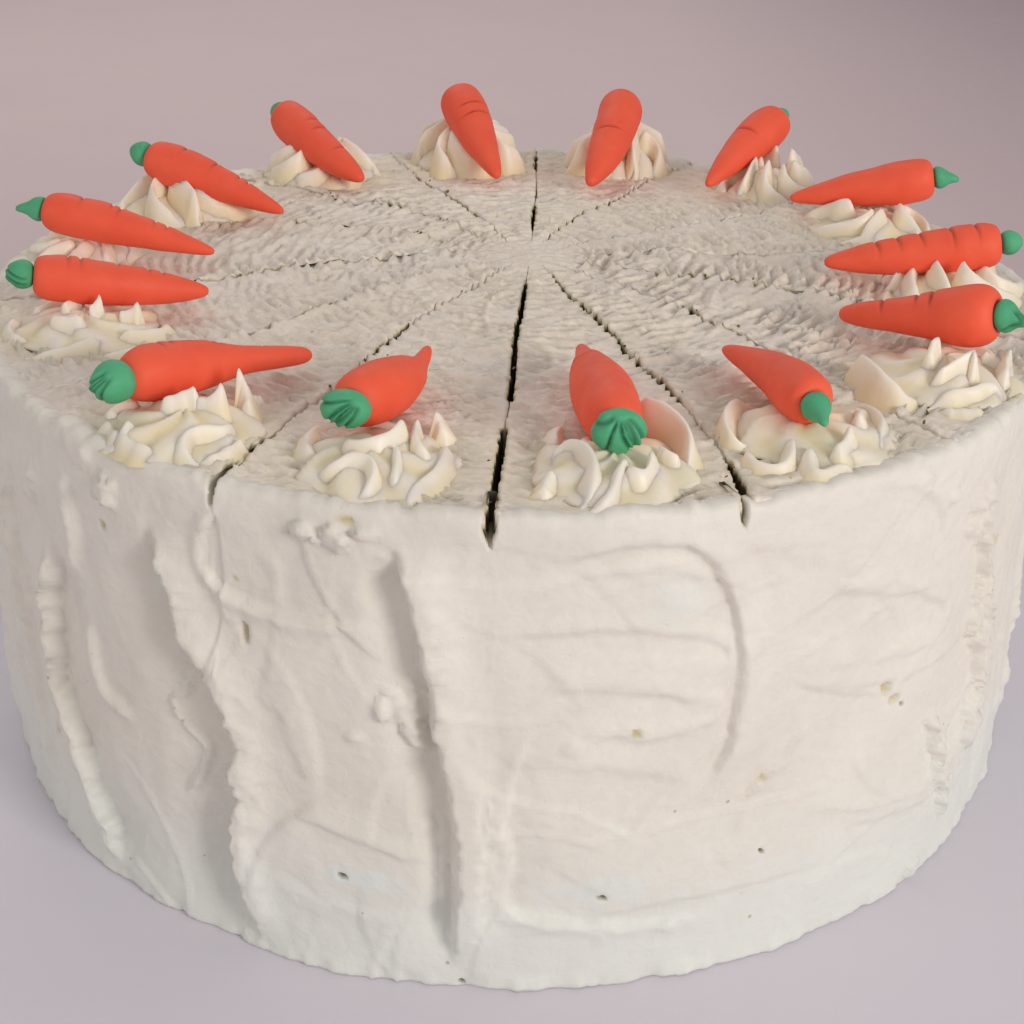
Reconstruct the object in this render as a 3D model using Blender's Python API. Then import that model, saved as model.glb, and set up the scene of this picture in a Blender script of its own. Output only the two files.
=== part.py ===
# Carrot cake: a tall round sponge in a spatula-marked buttercream coat, portioned by
# shallow cuts that cross near the middle, with a ring of piped rosettes round the rim.
# Each rosette carries a modelled sugar-paste carrot and its green top.
# Units are metres, +Z is up, the origin is the centre of the flat bottom.
import math

import bmesh
import bpy
from mathutils import Matrix, Vector

mm = 0.001

# driving dimensions
cakeRadius = 130 * mm          # side of the coat, before its ridges
cakeHeight = 110 * mm
footRadius = 133 * mm          # the coat spreads a little where it meets the table
footHeight = 3 * mm
sideCoat = 7 * mm              # thickness of buttercream on the side
topCoat = 6 * mm               # and on the top
shoulderRadius = 6 * mm        # rounding between top and side
gap = 0.3 * mm                 # kept between touching pieces
cakeSteps = 72                 # facets round the cake
sideRows = 9

rosetteLobes = 7
rosetteSteps = 3 * rosetteLobes
carrotSteps = 9
leafSteps = 8

# knife cuts through the top coat: where each open stretch starts and ends,
# how wide it gapes, and how deep it goes at either end, all in millimetres
openCuts = {
    "front_inner": {"start": (2.6, -3), "end": (-0.6, -75), "width": 1.7, "depths": (9, 14)},
    "front_rim": {"start": (-1.8, -91), "end": (-4.2, -136), "width": 1.8, "depths": (12, 6)},
    "front_right_inner": {"start": (10, 3), "end": (34.5, -76), "width": 1.3, "depths": (8, 12)},
    "front_right_rim": {"start": (41, -100), "end": (44.5, -119), "width": 1.2, "depths": (9, 6)},
    "front_left_inner": {"start": (-26, -37), "end": (-32, -55), "width": 1.0, "depths": (8, 8)},
    "front_left_rim": {"start": (-48.5, -98), "end": (-57, -136), "width": 1.5, "depths": (9, 6)},
    "back": {"start": (4.8, 44), "end": (5.2, 64), "width": 1.3, "depths": (8, 8)},
    "back_rim": {"start": (5.8, 96), "end": (6.2, 110), "width": 1.0, "depths": (7, 7)},
    "back_right": {"start": (23, 65), "end": (32, 79), "width": 0.8, "depths": (6, 6)},
}

# ridges left on the side by the spatula: angle and height at the top and the bottom of
# the stroke in degrees and millimetres, how far it stands out and its half width
sideRidges = [
    {"top": (-122, 96), "bottom": (-114, 6), "out": 2.4, "halfWidth": 5},
    {"top": (-99, 104), "bottom": (-92, 4), "out": 2.6, "halfWidth": 5},
    {"top": (-140, 78), "bottom": (-134, 8), "out": 1.8, "halfWidth": 5},
    {"top": (-134, 100), "bottom": (-131, 52), "out": 1.5, "halfWidth": 4},
    {"top": (-71, 102), "bottom": (-70, 46), "out": 1.4, "halfWidth": 4},
    {"top": (-44, 88), "bottom": (-42, 20), "out": 1.3, "halfWidth": 6},
]
hiddenRidges = 13              # the same kind of strokes go on round the back

# one entry for each rosette with its carrot, going round from the front to the right:
# rosette: angle and distance from the axis, radius, height and the drawn-up peak's angle
# tip, end: carrot axis as angle, distance from the axis and height over the top
# thick: carrot thickness, bend: sideways bow, leaf: shape, length, width and turn
toppings = [
    {"rosette": (-80, 111, 16.5, 10.5, 70), "tip": (-75.5, 58, 4), "end": (-79.5, 108.5, 7.8), "thick": 13.0,
     "bend": 0, "leaf": ("button", 6, 9.6, 0)},
    {"rosette": (-56.5, 109, 17.5, 10.5, -60), "tip": (-50.5, 72, 4), "end": (-58.5, 112, 8.5), "thick": 11.0,
     "bend": -2, "leaf": ("drop", 9, 7.0, -8)},
    {"rosette": (-32.5, 110.5, 17.5, 11, -70), "tip": (-24, 82, 4.5), "end": (-26.8, 118, 12), "thick": 13.6,
     "bend": 1, "leaf": ("drop", 7, 7.6, -12)},
    {"rosette": (1, 109, 18, 11, -80), "tip": (4, 78, 4), "end": (0.5, 120, 11), "thick": 11.6,
     "bend": 1, "leaf": ("bud", 6, 6.4, 0)},
    {"rosette": (28, 112, 18.5, 9, -100), "tip": (37.5, 97, 5), "end": (25, 127, 13), "thick": 12.2,
     "bend": 0, "leaf": ("drop", 7, 6.4, 0)},
    {"rosette": (48.5, 114, 15, 14, -100), "tip": (53.5, 93, 4), "end": (52.5, 129, 17), "thick": 12.6,
     "bend": -1, "leaf": ("bud", 5, 5.4, 0)},
    {"rosette": (74, 114, 16.5, 16, -100), "tip": (74, 77, 4), "end": (74, 117, 19), "thick": 13.4,
     "bend": 1, "leaf": ("bud", 5, 5.6, 0)},
    {"rosette": (97.5, 114, 17.5, 16, -90), "tip": (94, 80, 4), "end": (99, 118, 19), "thick": 13.6,
     "bend": 0, "leaf": ("bud", 5, 5.6, 0)},
    {"rosette": (121.5, 113, 18, 13, 90), "tip": (121, 87, 4), "end": (124, 128, 15), "thick": 12.4,
     "bend": -1, "leaf": ("bud", 5, 6.4, 0)},
    {"rosette": (147, 110, 19, 14, 90), "tip": (147, 75.5, 4), "end": (150.5, 117, 14), "thick": 11.8,
     "bend": 1, "leaf": ("bud", 7, 7.0, 0)},
    {"rosette": (171.5, 114, 15.5, 7.5, 100), "tip": (176, 76, 4), "end": (174, 120, 12), "thick": 10.8,
     "bend": 1, "leaf": ("drop", 8, 6.6, 0)},
    {"rosette": (-158.5, 105, 17.5, 8.5, 100), "tip": (-161.5, 76, 4), "end": (-163, 115, 10.5), "thick": 10.8,
     "bend": -1, "leaf": ("bud", 7, 7.0, 0)},
    {"rosette": (-125, 113.5, 17, 10, 80), "tip": (-124.5, 76.5, 4), "end": (-131, 118, 8.6), "thick": 11.8,
     "bend": 2, "leaf": ("fan", 10, 8.8, 25)},
    {"rosette": (-103.3, 111, 16.5, 10, 80), "tip": (-105, 70, 4.5), "end": (-107.5, 104.5, 8.5), "thick": 12.4,
     "bend": -1, "leaf": ("button", 7, 8.8, 12)},
]

# half outlines of the small pieces: (distance from the axis, place along the axis), as fractions
rosetteOutline = [(0, 0), (0.86, 0), (1.0, 0.3), (0.84, 0.72), (0.5, 1.0), (0, 0.75)]
carrotOutline = [(0, 0), (0.32, 0.07), (0.54, 0.27), (0.82, 0.56), (1.0, 0.82), (0.88, 0.96),
                 (0.44, 1.0), (0, 0.97)]
leafOutlines = {
    "button": [(0, 0), (0.72, 0.08), (1.0, 0.45), (0.78, 0.85), (0, 1.0)],
    "drop": [(0, 0), (0.86, 0.1), (1.0, 0.35), (0.52, 0.74), (0, 1.0)],
    "bud": [(0, 0), (0.66, 0.12), (1.0, 0.5), (0.66, 0.88), (0, 1.0)],
    "fan": [(0, 0), (0.8, 0.08), (1.0, 0.38), (0.62, 0.75), (0, 1.0)],
}


def clearScene():
    for leftover in list(bpy.data.objects):
        bpy.data.objects.remove(leftover, do_unlink=True)


def newCollection(name):
    collection = bpy.data.collections.new(name)
    bpy.context.scene.collection.children.link(collection)
    return collection


def newMaterial(name, colour, roughness):
    material = bpy.data.materials.new(name)
    material.use_nodes = True
    shader = material.node_tree.nodes["Principled BSDF"]
    shader.inputs["Base Color"].default_value = (*colour, 1)
    shader.inputs["Roughness"].default_value = roughness
    shader.inputs["Metallic"].default_value = 0
    material.diffuse_color = (*colour, 1)
    return material


def addObject(name, mesh, collection, material=None):
    obj = bpy.data.objects.new(name, mesh)
    collection.objects.link(obj)
    if material:
        mesh.materials.append(material)
    return obj


def fromBmesh(name, bm):
    bmesh.ops.recalc_face_normals(bm, faces=bm.faces)
    mesh = bpy.data.meshes.new(name)
    bm.to_mesh(mesh)
    bm.free()
    return mesh


# a closed body turned about Z; the outline starts and ends on the axis
def turnedBmesh(outline, steps):
    bm = bmesh.new()
    points = [bm.verts.new((r, 0, z)) for r, z in outline]
    edges = [bm.edges.new(pair) for pair in zip(points, points[1:])]
    bmesh.ops.spin(bm, geom=points + edges, cent=(0, 0, 0), axis=(0, 0, 1),
                   angle=math.tau, steps=steps, use_merge=True)
    bmesh.ops.remove_doubles(bm, verts=bm.verts, dist=0.00001)
    return bm


def polar(angle, distance, height=0.0):
    turn = math.radians(angle)
    return Vector((distance * math.cos(turn), distance * math.sin(turn), height))


# 1 at the middle of a stroke, falling smoothly to 0 at its half width
def bump(offset, halfWidth):
    share = min(1.0, abs(offset) / halfWidth)
    return 0.5 + 0.5 * math.cos(math.pi * share)


def angleBetween(a, b):
    return (a - b + 180) % 360 - 180


def allRidges():
    ridges = list(sideRidges)
    for k in range(hiddenRidges):
        angle = -18 + k * 224 / hiddenRidges
        lean = 6 * math.sin(2.3 * k)
        high = 100 - 12 * (k % 3)
        low = 6 + 9 * (k % 4)
        ridges.append({"top": (angle, high), "bottom": (angle + lean, low),
                       "out": 1.3 + 0.5 * math.cos(1.7 * k), "halfWidth": 5})
    return ridges


# how far the side of the coat stands out (or in) at an angle and a height
def sideRelief(angle, height, ridges):
    turn = math.radians(angle)
    level = height / mm
    relief = 0.5 * math.sin(3 * turn + 0.03 * level) + 0.35 * math.sin(7 * turn - 0.05 * level)
    for ridge in ridges:
        (topAngle, topHeight), (bottomAngle, bottomHeight) = ridge["top"], ridge["bottom"]
        share = (topHeight - level) / (topHeight - bottomHeight)
        middle = topAngle + (bottomAngle - topAngle) * min(1, max(0, share))
        ends = bump(max(0, share - 1, -share), 0.25)
        across = angleBetween(angle, middle)
        relief += ridge["out"] * ends * bump(across, ridge["halfWidth"])
        relief -= 0.4 * ridge["out"] * ends * bump(across + ridge["halfWidth"], ridge["halfWidth"])
    return relief * mm


def coatOutline():
    outline = [(0, cakeHeight)]
    for share in (0.3, 0.55, 0.8):
        outline.append((share * cakeRadius, cakeHeight))
    for k in range(4):
        turn = math.radians(30 * k)
        outline.append((cakeRadius - shoulderRadius * (1 - math.sin(turn)),
                        cakeHeight - shoulderRadius * (1 - math.cos(turn))))
    rowStep = (cakeHeight - shoulderRadius - footHeight) / sideRows
    for row in range(1, sideRows):
        spread = (footRadius - cakeRadius) * (row / sideRows) ** 2
        outline.append((cakeRadius + spread, cakeHeight - shoulderRadius - row * rowStep))
    outline.append((footRadius, footHeight))
    outline.append((footRadius - 0.5 * mm, 0))
    outline.append((cakeRadius - sideCoat, 0))
    outline.append((cakeRadius - sideCoat, cakeHeight - topCoat))
    outline.append((0, cakeHeight - topCoat))
    return outline


def buildCoat(collection, material):
    bm = turnedBmesh(coatOutline(), cakeSteps)
    ridges = allRidges()
    for vert in bm.verts:
        distance = math.hypot(vert.co.x, vert.co.y)
        onSide = distance > cakeRadius - 0.5 * shoulderRadius and vert.co.z > footHeight + mm
        if onSide and distance < footRadius - 0.1 * mm:
            angle = math.degrees(math.atan2(vert.co.y, vert.co.x))
            top = bump(max(0, vert.co.z - cakeHeight + 2 * shoulderRadius), 2.2 * shoulderRadius)
            out = distance + min(sideRelief(angle, vert.co.z, ridges) * top, footRadius - distance)
            vert.co.x *= out / distance
            vert.co.y *= out / distance
    return addObject("buttercream_coat", fromBmesh("buttercream_coat", bm), collection, material)


def buildSponge(collection, material):
    radius = cakeRadius - sideCoat - gap
    height = cakeHeight - topCoat - gap
    bm = turnedBmesh([(0, height), (radius, height), (radius, 0), (0, 0)], cakeSteps)
    return addObject("sponge", fromBmesh("sponge", bm), collection, material)


# a thin wedge that stands on edge along a cut, taller than the coat it goes through
def buildCutter(name, cut, collection):
    start = Vector((*cut["start"], 0)) * mm
    end = Vector((*cut["end"], 0)) * mm
    along = end - start
    bm = bmesh.new()
    bmesh.ops.create_cube(bm, size=1)
    for vert in bm.verts:
        atEnd = vert.co.x > 0
        depth = cut["depths"][1 if atEnd else 0] * mm
        vert.co.y *= cut["width"] * mm * (1 if vert.co.z > 0 else 0.6)
        vert.co.x *= along.length
        vert.co.z = 8 * mm if vert.co.z > 0 else -depth
    cutter = addObject(name, fromBmesh(name, bm), collection)
    cutter.location = (start + end) / 2 + Vector((0, 0, cakeHeight))
    cutter.rotation_euler.z = math.atan2(along.y, along.x)
    cutter.hide_render = True
    cutter.display_type = "WIRE"
    return cutter


def cutAway(obj, cutter):
    modifier = obj.modifiers.new("cut by " + cutter.name, "BOOLEAN")
    modifier.operation = "DIFFERENCE"
    modifier.solver = "EXACT"
    modifier.object = cutter


# the cuts made on obj become its mesh, without any crumb that they leave loose
def settleCuts(obj):
    graph = bpy.context.evaluated_depsgraph_get()
    settled = bpy.data.meshes.new_from_object(obj.evaluated_get(graph))
    obj.modifiers.clear()
    bm = bmesh.new()
    bm.from_mesh(settled)
    bmesh.ops.remove_doubles(bm, verts=bm.verts, dist=0.02 * mm)
    bmesh.ops.dissolve_degenerate(bm, edges=bm.edges, dist=0.02 * mm)
    waiting = set(bm.verts)
    bodies = []
    while waiting:
        front = [waiting.pop()]
        body = set(front)
        while front:
            vert = front.pop()
            for edge in vert.link_edges:
                other = edge.other_vert(vert)
                if other in waiting:
                    waiting.remove(other)
                    body.add(other)
                    front.append(other)
        bodies.append(body)
    bodies.sort(key=len)
    for body in bodies[:-1]:
        bmesh.ops.delete(bm, geom=list(body), context="VERTS")
    bmesh.ops.triangulate(bm, faces=bm.faces)
    bm.to_mesh(settled)
    bm.free()
    obj.data = settled


def carrotFrame(topping):
    tip = polar(topping["tip"][0], topping["tip"][1] * mm, cakeHeight + topping["tip"][2] * mm)
    end = polar(topping["end"][0], topping["end"][1] * mm, cakeHeight + topping["end"][2] * mm)
    turn = (end - tip).to_track_quat("Z", "X")
    return tip, (end - tip).length, turn.to_matrix().to_4x4()


def carrotBmesh(topping, length, grow):
    radius = topping["thick"] * mm / 2
    outline = [(r * radius, s * length) for r, s in carrotOutline]
    bm = turnedBmesh(outline, carrotSteps)
    for vert in bm.verts:
        vert.co.y += topping["bend"] * mm * math.sin(math.pi * vert.co.z / length)
    if grow:
        growBmesh(bm, grow)
    return bm


def leafBmesh(topping, grow):
    shape, length, width, _ = topping["leaf"]
    outline = [(r * width * mm / 2, s * length * mm) for r, s in leafOutlines[shape]]
    bm = turnedBmesh(outline, leafSteps)
    for vert in bm.verts:
        turn = math.atan2(vert.co.y, vert.co.x)
        crease = 1 - 0.1 * (1 + math.cos(0.5 * leafSteps * turn))
        vert.co.x *= crease
        vert.co.y *= crease
    if grow:
        growBmesh(bm, grow)
    return bm


def growBmesh(bm, distance):
    bmesh.ops.recalc_face_normals(bm, faces=bm.faces)
    bm.normal_update()
    moves = [(vert, vert.normal * distance * vert.calc_shell_factor()) for vert in bm.verts]
    for vert, move in moves:
        vert.co += move


def leafPlace(topping, tip, length, turn):
    lean = Matrix.Rotation(math.radians(topping["leaf"][3]), 4, "X")
    away = Matrix.Translation((0, 0, length + gap))
    return Matrix.Translation(tip) @ turn @ away @ lean


# a low swirl of cream from a star nozzle: a turned mound whose fins wind up to the middle,
# with one fin drawn up to a point beside the carrot
def buildRosette(name, topping, collection, material):
    angle, distance, radius, height, peak = topping["rosette"]
    outline = [(r * radius * mm, z * height * mm) for r, z in rosetteOutline]
    bm = turnedBmesh(outline, rosetteSteps)
    for vert in bm.verts:
        rise = vert.co.z / (height * mm)
        turn = math.atan2(vert.co.y, vert.co.x)
        reach = math.hypot(vert.co.x, vert.co.y)
        if reach < 0.01 * mm or vert.co.z <= 0:
            continue
        fin = math.cos(rosetteLobes * turn)
        uneven = 0.05 * math.sin(2 * turn + angle)
        reach *= 0.92 + 0.12 * fin + uneven
        away = abs(angleBetween(math.degrees(turn), peak))
        vert.co.z += 5 * mm * rise * bump(away, 50) + 1.2 * mm * fin * rise
        turn += math.radians(38) * rise
        vert.co.x = reach * math.cos(turn)
        vert.co.y = reach * math.sin(turn)
    rosette = addObject(name, fromBmesh(name, bm), collection, material)
    rosette.location = polar(angle, distance * mm, cakeHeight + gap)
    rosette.rotation_euler.z = math.radians(angle)
    return rosette


def main():
    clearScene()
    cake = newCollection("carrot_cake")
    cutters = newCollection("cutters")
    cream = newMaterial("buttercream", (0.80, 0.74, 0.64), 0.55)
    piped = newMaterial("piped buttercream", (0.84, 0.79, 0.62), 0.5)
    crumb = newMaterial("carrot sponge", (0.16, 0.09, 0.04), 0.9)
    orange = newMaterial("orange sugar paste", (0.80, 0.14, 0.06), 0.6)
    green = newMaterial("green sugar paste", (0.04, 0.32, 0.18), 0.6)

    coat = buildCoat(cake, cream)
    sponge = buildSponge(cake, crumb)
    for cutName, cut in openCuts.items():
        cutter = buildCutter("cut_" + cutName, cut, cutters)
        cutAway(coat, cutter)
        cutAway(sponge, cutter)

    for index, topping in enumerate(toppings, start=1):
        number = f"_{index:02d}"
        tip, length, turn = carrotFrame(topping)
        carrotMesh = fromBmesh("carrot" + number, carrotBmesh(topping, length, 0))
        carrot = addObject("carrot" + number, carrotMesh, cake, orange)
        carrot.matrix_world = Matrix.Translation(tip) @ turn
        leaf = addObject("carrot_top" + number, fromBmesh("carrot_top" + number, leafBmesh(topping, 0)),
                         cake, green)
        leaf.matrix_world = leafPlace(topping, tip, length, turn)
        carrotRoom = addObject("room_carrot" + number,
                               fromBmesh("room_carrot" + number, carrotBmesh(topping, length, gap)), cutters)
        carrotRoom.matrix_world = carrot.matrix_world
        leafRoom = addObject("room_top" + number,
                             fromBmesh("room_top" + number, leafBmesh(topping, gap)), cutters)
        leafRoom.matrix_world = leaf.matrix_world
        for room in (carrotRoom, leafRoom):
            room.hide_render = True
            room.display_type = "WIRE"
        rosette = buildRosette("rosette" + number, topping, cake, piped)
        cutAway(rosette, carrotRoom)
        cutAway(rosette, leafRoom)
        cutAway(leaf, carrotRoom)
        bpy.context.view_layer.update()
        settleCuts(rosette)
        settleCuts(leaf)


main()
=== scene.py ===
# Carrot cake looks: knife-spread buttercream with its portion cuts, star-piped rosettes, and a
# sugar-paste carrot with a green top on each. Lengths in the dictionaries are millimetres.
import math
import random

import bmesh
import bpy
import numpy as np
from mathutils import Matrix, Vector, noise


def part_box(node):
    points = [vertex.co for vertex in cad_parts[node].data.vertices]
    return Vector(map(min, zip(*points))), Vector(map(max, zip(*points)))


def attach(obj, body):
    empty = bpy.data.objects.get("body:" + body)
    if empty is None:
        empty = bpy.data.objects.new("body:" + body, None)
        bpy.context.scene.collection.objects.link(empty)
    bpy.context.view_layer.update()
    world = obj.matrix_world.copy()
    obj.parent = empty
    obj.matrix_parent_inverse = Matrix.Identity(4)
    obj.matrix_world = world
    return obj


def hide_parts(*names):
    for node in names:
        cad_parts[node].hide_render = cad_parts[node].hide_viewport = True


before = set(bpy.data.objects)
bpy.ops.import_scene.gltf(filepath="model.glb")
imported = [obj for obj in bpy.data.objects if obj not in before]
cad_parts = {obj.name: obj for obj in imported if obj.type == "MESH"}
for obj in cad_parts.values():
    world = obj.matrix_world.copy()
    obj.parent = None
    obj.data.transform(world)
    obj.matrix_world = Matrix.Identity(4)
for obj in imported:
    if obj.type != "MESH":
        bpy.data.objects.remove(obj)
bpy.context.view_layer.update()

mm = 0.001
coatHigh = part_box("buttercream_coat")[1]
topHeight = coatHigh.z / mm                 # where the top of the coat lies
footReach = coatHigh.x / mm                 # the widest that the coat may stand
strokeRoom = 3.4                            # how far the strokes may stand out of the side
sideRadius = footReach - strokeRoom         # the side before its strokes
sideArc = math.radians(1) * sideRadius      # one degree along the side
print("frame loaded, top at", round(topHeight, 1), "mm, radius", round(sideRadius, 1), "mm")


def smoothStep(low, high, value):
    share = np.clip((value - low) / (high - low), 0, 1)
    return share * share * (3 - 2 * share)


def hump(offset, halfWidth):
    share = np.clip(np.abs(offset) / halfWidth, 0, 1)
    return 0.5 + 0.5 * np.cos(math.pi * share)


def rounded(points, times=2):
    # cuts the corners off a path so that it runs in a curve
    path = np.array(points, float)
    for _ in range(times):
        near = 0.75 * path[:-1] + 0.25 * path[1:]
        far = 0.25 * path[:-1] + 0.75 * path[1:]
        middle = np.stack([near, far], axis=1).reshape(-1, path.shape[1])
        path = np.vstack([path[:1], middle, path[-1:]])
    return path


def evenly(path, count):
    # the same path with its points evenly spaced
    steps = np.hypot(*np.diff(path[:, :2], axis=0).T)
    run = np.concatenate([[0], np.cumsum(steps)])
    want = np.linspace(0, run[-1], count)
    return np.stack([np.interp(want, run, path[:, k]) for k in range(path.shape[1])], axis=1)


def alongPath(x, y, path):
    # how far each point lies off the path (left of its direction is positive), and how far along
    steps = np.diff(path, axis=0)
    lengths = np.hypot(steps[:, 0], steps[:, 1])
    nearest = np.full(x.shape, 1e9)
    off = np.zeros(x.shape)
    along = np.zeros(x.shape)
    run = 0
    for start, step, length in zip(path[:-1], steps, lengths):
        share = np.clip(((x - start[0]) * step[0] + (y - start[1]) * step[1]) / length ** 2, 0, 1)
        dx = x - start[0] - share * step[0]
        dy = y - start[1] - share * step[1]
        away = np.hypot(dx, dy)
        side = np.where(step[0] * dy - step[1] * dx > 0, 1, -1)
        closer = away < nearest
        nearest = np.where(closer, away, nearest)
        off = np.where(closer, side * away, off)
        along = np.where(closer, (run + share * length) / lengths.sum(), along)
        run += length
    return off, along


cloudLook = {"fade": 0.8, "finer": 2.1, "apart": 31.7}     # from one octave to the next, and between seeds


def cloud(x, y, z, size, octaves=2, seed=0):
    # smooth noise from -1 to 1 with patches of that size
    shift = cloudLook["apart"] * seed
    fade, finer = cloudLook["fade"], cloudLook["finer"]
    return np.array([noise.fractal(Vector((a / size + shift, b / size, c / size)), fade, finer, octaves)
                     for a, b, c in zip(x, y, z)])


def spunOutline(outline, steps, weld=0.004):
    # a half outline of (radius, height) spun right round the upright axis, with its poles closed
    bm = bmesh.new()
    verts = [bm.verts.new((r * mm, 0, z * mm)) for r, z in outline]
    edges = [bm.edges.new(pair) for pair in zip(verts, verts[1:])]
    bmesh.ops.spin(bm, geom=verts + edges, cent=(0, 0, 0), axis=(0, 0, 1), angle=math.tau,
                   steps=steps, use_merge=True)
    if weld:
        bmesh.ops.remove_doubles(bm, verts=bm.verts, dist=weld * mm)
    return bm


def readPoints(bm):
    return np.array([vert.co for vert in bm.verts]) / mm


def writePoints(bm, x, y, z):
    for vert, place in zip(bm.verts, np.stack([x, y, z], axis=1) * mm):
        vert.co = place


def finishPiece(bm, name, material, nodes, tints=None):
    mesh = bpy.data.meshes.new(name)
    bm.to_mesh(mesh)
    bm.free()
    if tints is not None:
        layer = mesh.color_attributes.new("tint", "FLOAT_COLOR", "POINT")
        full = np.ones((len(mesh.vertices), 4), np.float32)
        full[:, :3] = tints
        layer.data.foreach_set("color", full.ravel())
    mesh.shade_smooth()
    mesh.materials.append(material)
    piece = bpy.data.objects.new(name, mesh)
    bpy.context.scene.collection.objects.link(piece)
    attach(piece, "root")
    if nodes:
        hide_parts(*nodes)
    return piece


def newFinish(name):
    # a new material, and the places on the piece that its patterns follow
    material = bpy.data.materials.new(name)
    material.use_nodes = True
    tree = material.node_tree
    place = addNode(tree, "ShaderNodeTexCoord").outputs["Object"]
    return material, tree, tree.nodes["Principled BSDF"], place


def addNode(tree, kind, settings=None, **inputs):
    node = tree.nodes.new(kind)
    for key, value in (settings or {}).items():
        setattr(node, key, value)
    for key, value in inputs.items():
        socket = node.inputs[key.replace("_", " ")]
        if isinstance(value, bpy.types.NodeSocket):
            tree.links.new(value, socket)
        else:
            socket.default_value = value
    return node


def noiseNode(tree, place, size, detail=3.0, rough=0.55, warp=0.0):
    node = addNode(tree, "ShaderNodeTexNoise", Vector=place, Scale=1 / (size * mm), Detail=detail,
                   Roughness=rough, Distortion=warp)
    return node.outputs["Fac"]


def rangeNode(tree, value, low, high, toLow=0.0, toHigh=1.0):
    node = addNode(tree, "ShaderNodeMapRange", Value=value, From_Min=low, From_Max=high,
                   To_Min=toLow, To_Max=toHigh)
    return node.outputs["Result"]


def mathNode(tree, operation, first, second):
    node = addNode(tree, "ShaderNodeMath", {"operation": operation})
    for socket, value in zip(node.inputs, (first, second)):
        if isinstance(value, bpy.types.NodeSocket):
            tree.links.new(value, socket)
        else:
            socket.default_value = value
    return node.outputs["Value"]


def mixColour(tree, share, first, second):
    node = addNode(tree, "ShaderNodeMix", {"data_type": "RGBA"})
    for socket, value in zip((node.inputs[0], node.inputs[6], node.inputs[7]), (share, first, second)):
        if isinstance(value, bpy.types.NodeSocket):
            tree.links.new(value, socket)
        elif isinstance(value, tuple):
            socket.default_value = (*value, 1)
        else:
            socket.default_value = value
    return node.outputs[2]


def tintMasks(tree):
    # the shares that a piece's points carry in their tint
    tint = addNode(tree, "ShaderNodeVertexColor", {"layer_name": "tint"}).outputs["Color"]
    return addNode(tree, "ShaderNodeSeparateColor", Color=tint).outputs


def cellsNode(tree, place, size):
    return addNode(tree, "ShaderNodeTexVoronoi", Vector=place, Scale=1 / (size * mm)).outputs


def addSkin(tree, shader, place, colour, patches, roughness):
    # the colour, and a roughness that goes to and fro in patches of that size
    tree.links.new(colour, shader.inputs["Base Color"])
    rough = rangeNode(tree, noiseNode(tree, place, patches), 0.3, 0.7, *roughness)
    tree.links.new(rough, shader.inputs["Roughness"])


def addDepth(shader, look):
    # light goes a little way into cream and paste
    shader.inputs["Subsurface Weight"].default_value = look["subsurface"]
    shader.inputs["Subsurface Radius"].default_value = look["seeps"]
    shader.inputs["Subsurface Scale"].default_value = look["seepsTo"] * mm
    shader.inputs["Specular IOR Level"].default_value = look["gloss"]


def addBumps(tree, shader, *bumps):
    # each bump is a height between 0 and 1, how far it stands in millimetres, and its strength
    normal = None
    for height, distance, strength in bumps:
        node = addNode(tree, "ShaderNodeBump", Height=height, Distance=distance * mm, Strength=strength)
        if normal:
            tree.links.new(normal, node.inputs["Normal"])
        normal = node.outputs["Normal"]
    tree.links.new(normal, shader.inputs["Normal"])


# curls: how far the crusted curls stand and how strongly. The dips between the curls get painted shade: its
# colour, and how strong it is
coatTones = {
    "side": {"name": "spread buttercream", "cream": (0.815, 0.765, 0.685), "shade": (0.76, 0.705, 0.62),
             "dipShade": (0.68, 0.62, 0.53), "dipShadeShare": 0.16, "curls": (0.4, 0.3)},
    # the top's cream is warmer than the side's: partly its own tone, partly painted warm bounce light from
    # the carrots
    "top": {"name": "wiped buttercream with painted bounce", "cream": (0.875, 0.785, 0.68), "shade": (0.80, 0.705, 0.585),
            "dipShade": (0.60, 0.505, 0.385), "dipShadeShare": 0.3, "curls": (0.8, 0.45)},
}
buttercream = {
    "thin": (0.73, 0.77, 0.73),         # where the coat is so thin that it looks bluish, and at the foot painted bluish bounce light from the table
    "olive": (0.60, 0.51, 0.25),        # edges of a tear
    "crumb": (0.030, 0.024, 0.012),
    "fleck": (0.42, 0.30, 0.15),
    "flecks": {"apart": 9, "size": 0.05, "without": 0.68, "strength": 0.6},
    "blotches": 30,                     # the sizes of its patterns
    "curls": 3.4,
    "grain": 1.3,
    "lumps": 6,
    "drags": 14,
    "pits": 4.5,
    "roughness": (0.42, 0.62),
    "subsurface": 0.12,
    "seeps": (1.0, 0.8, 0.5),
    "seepsTo": 2.0,
    "gloss": 0.35,
}


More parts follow.
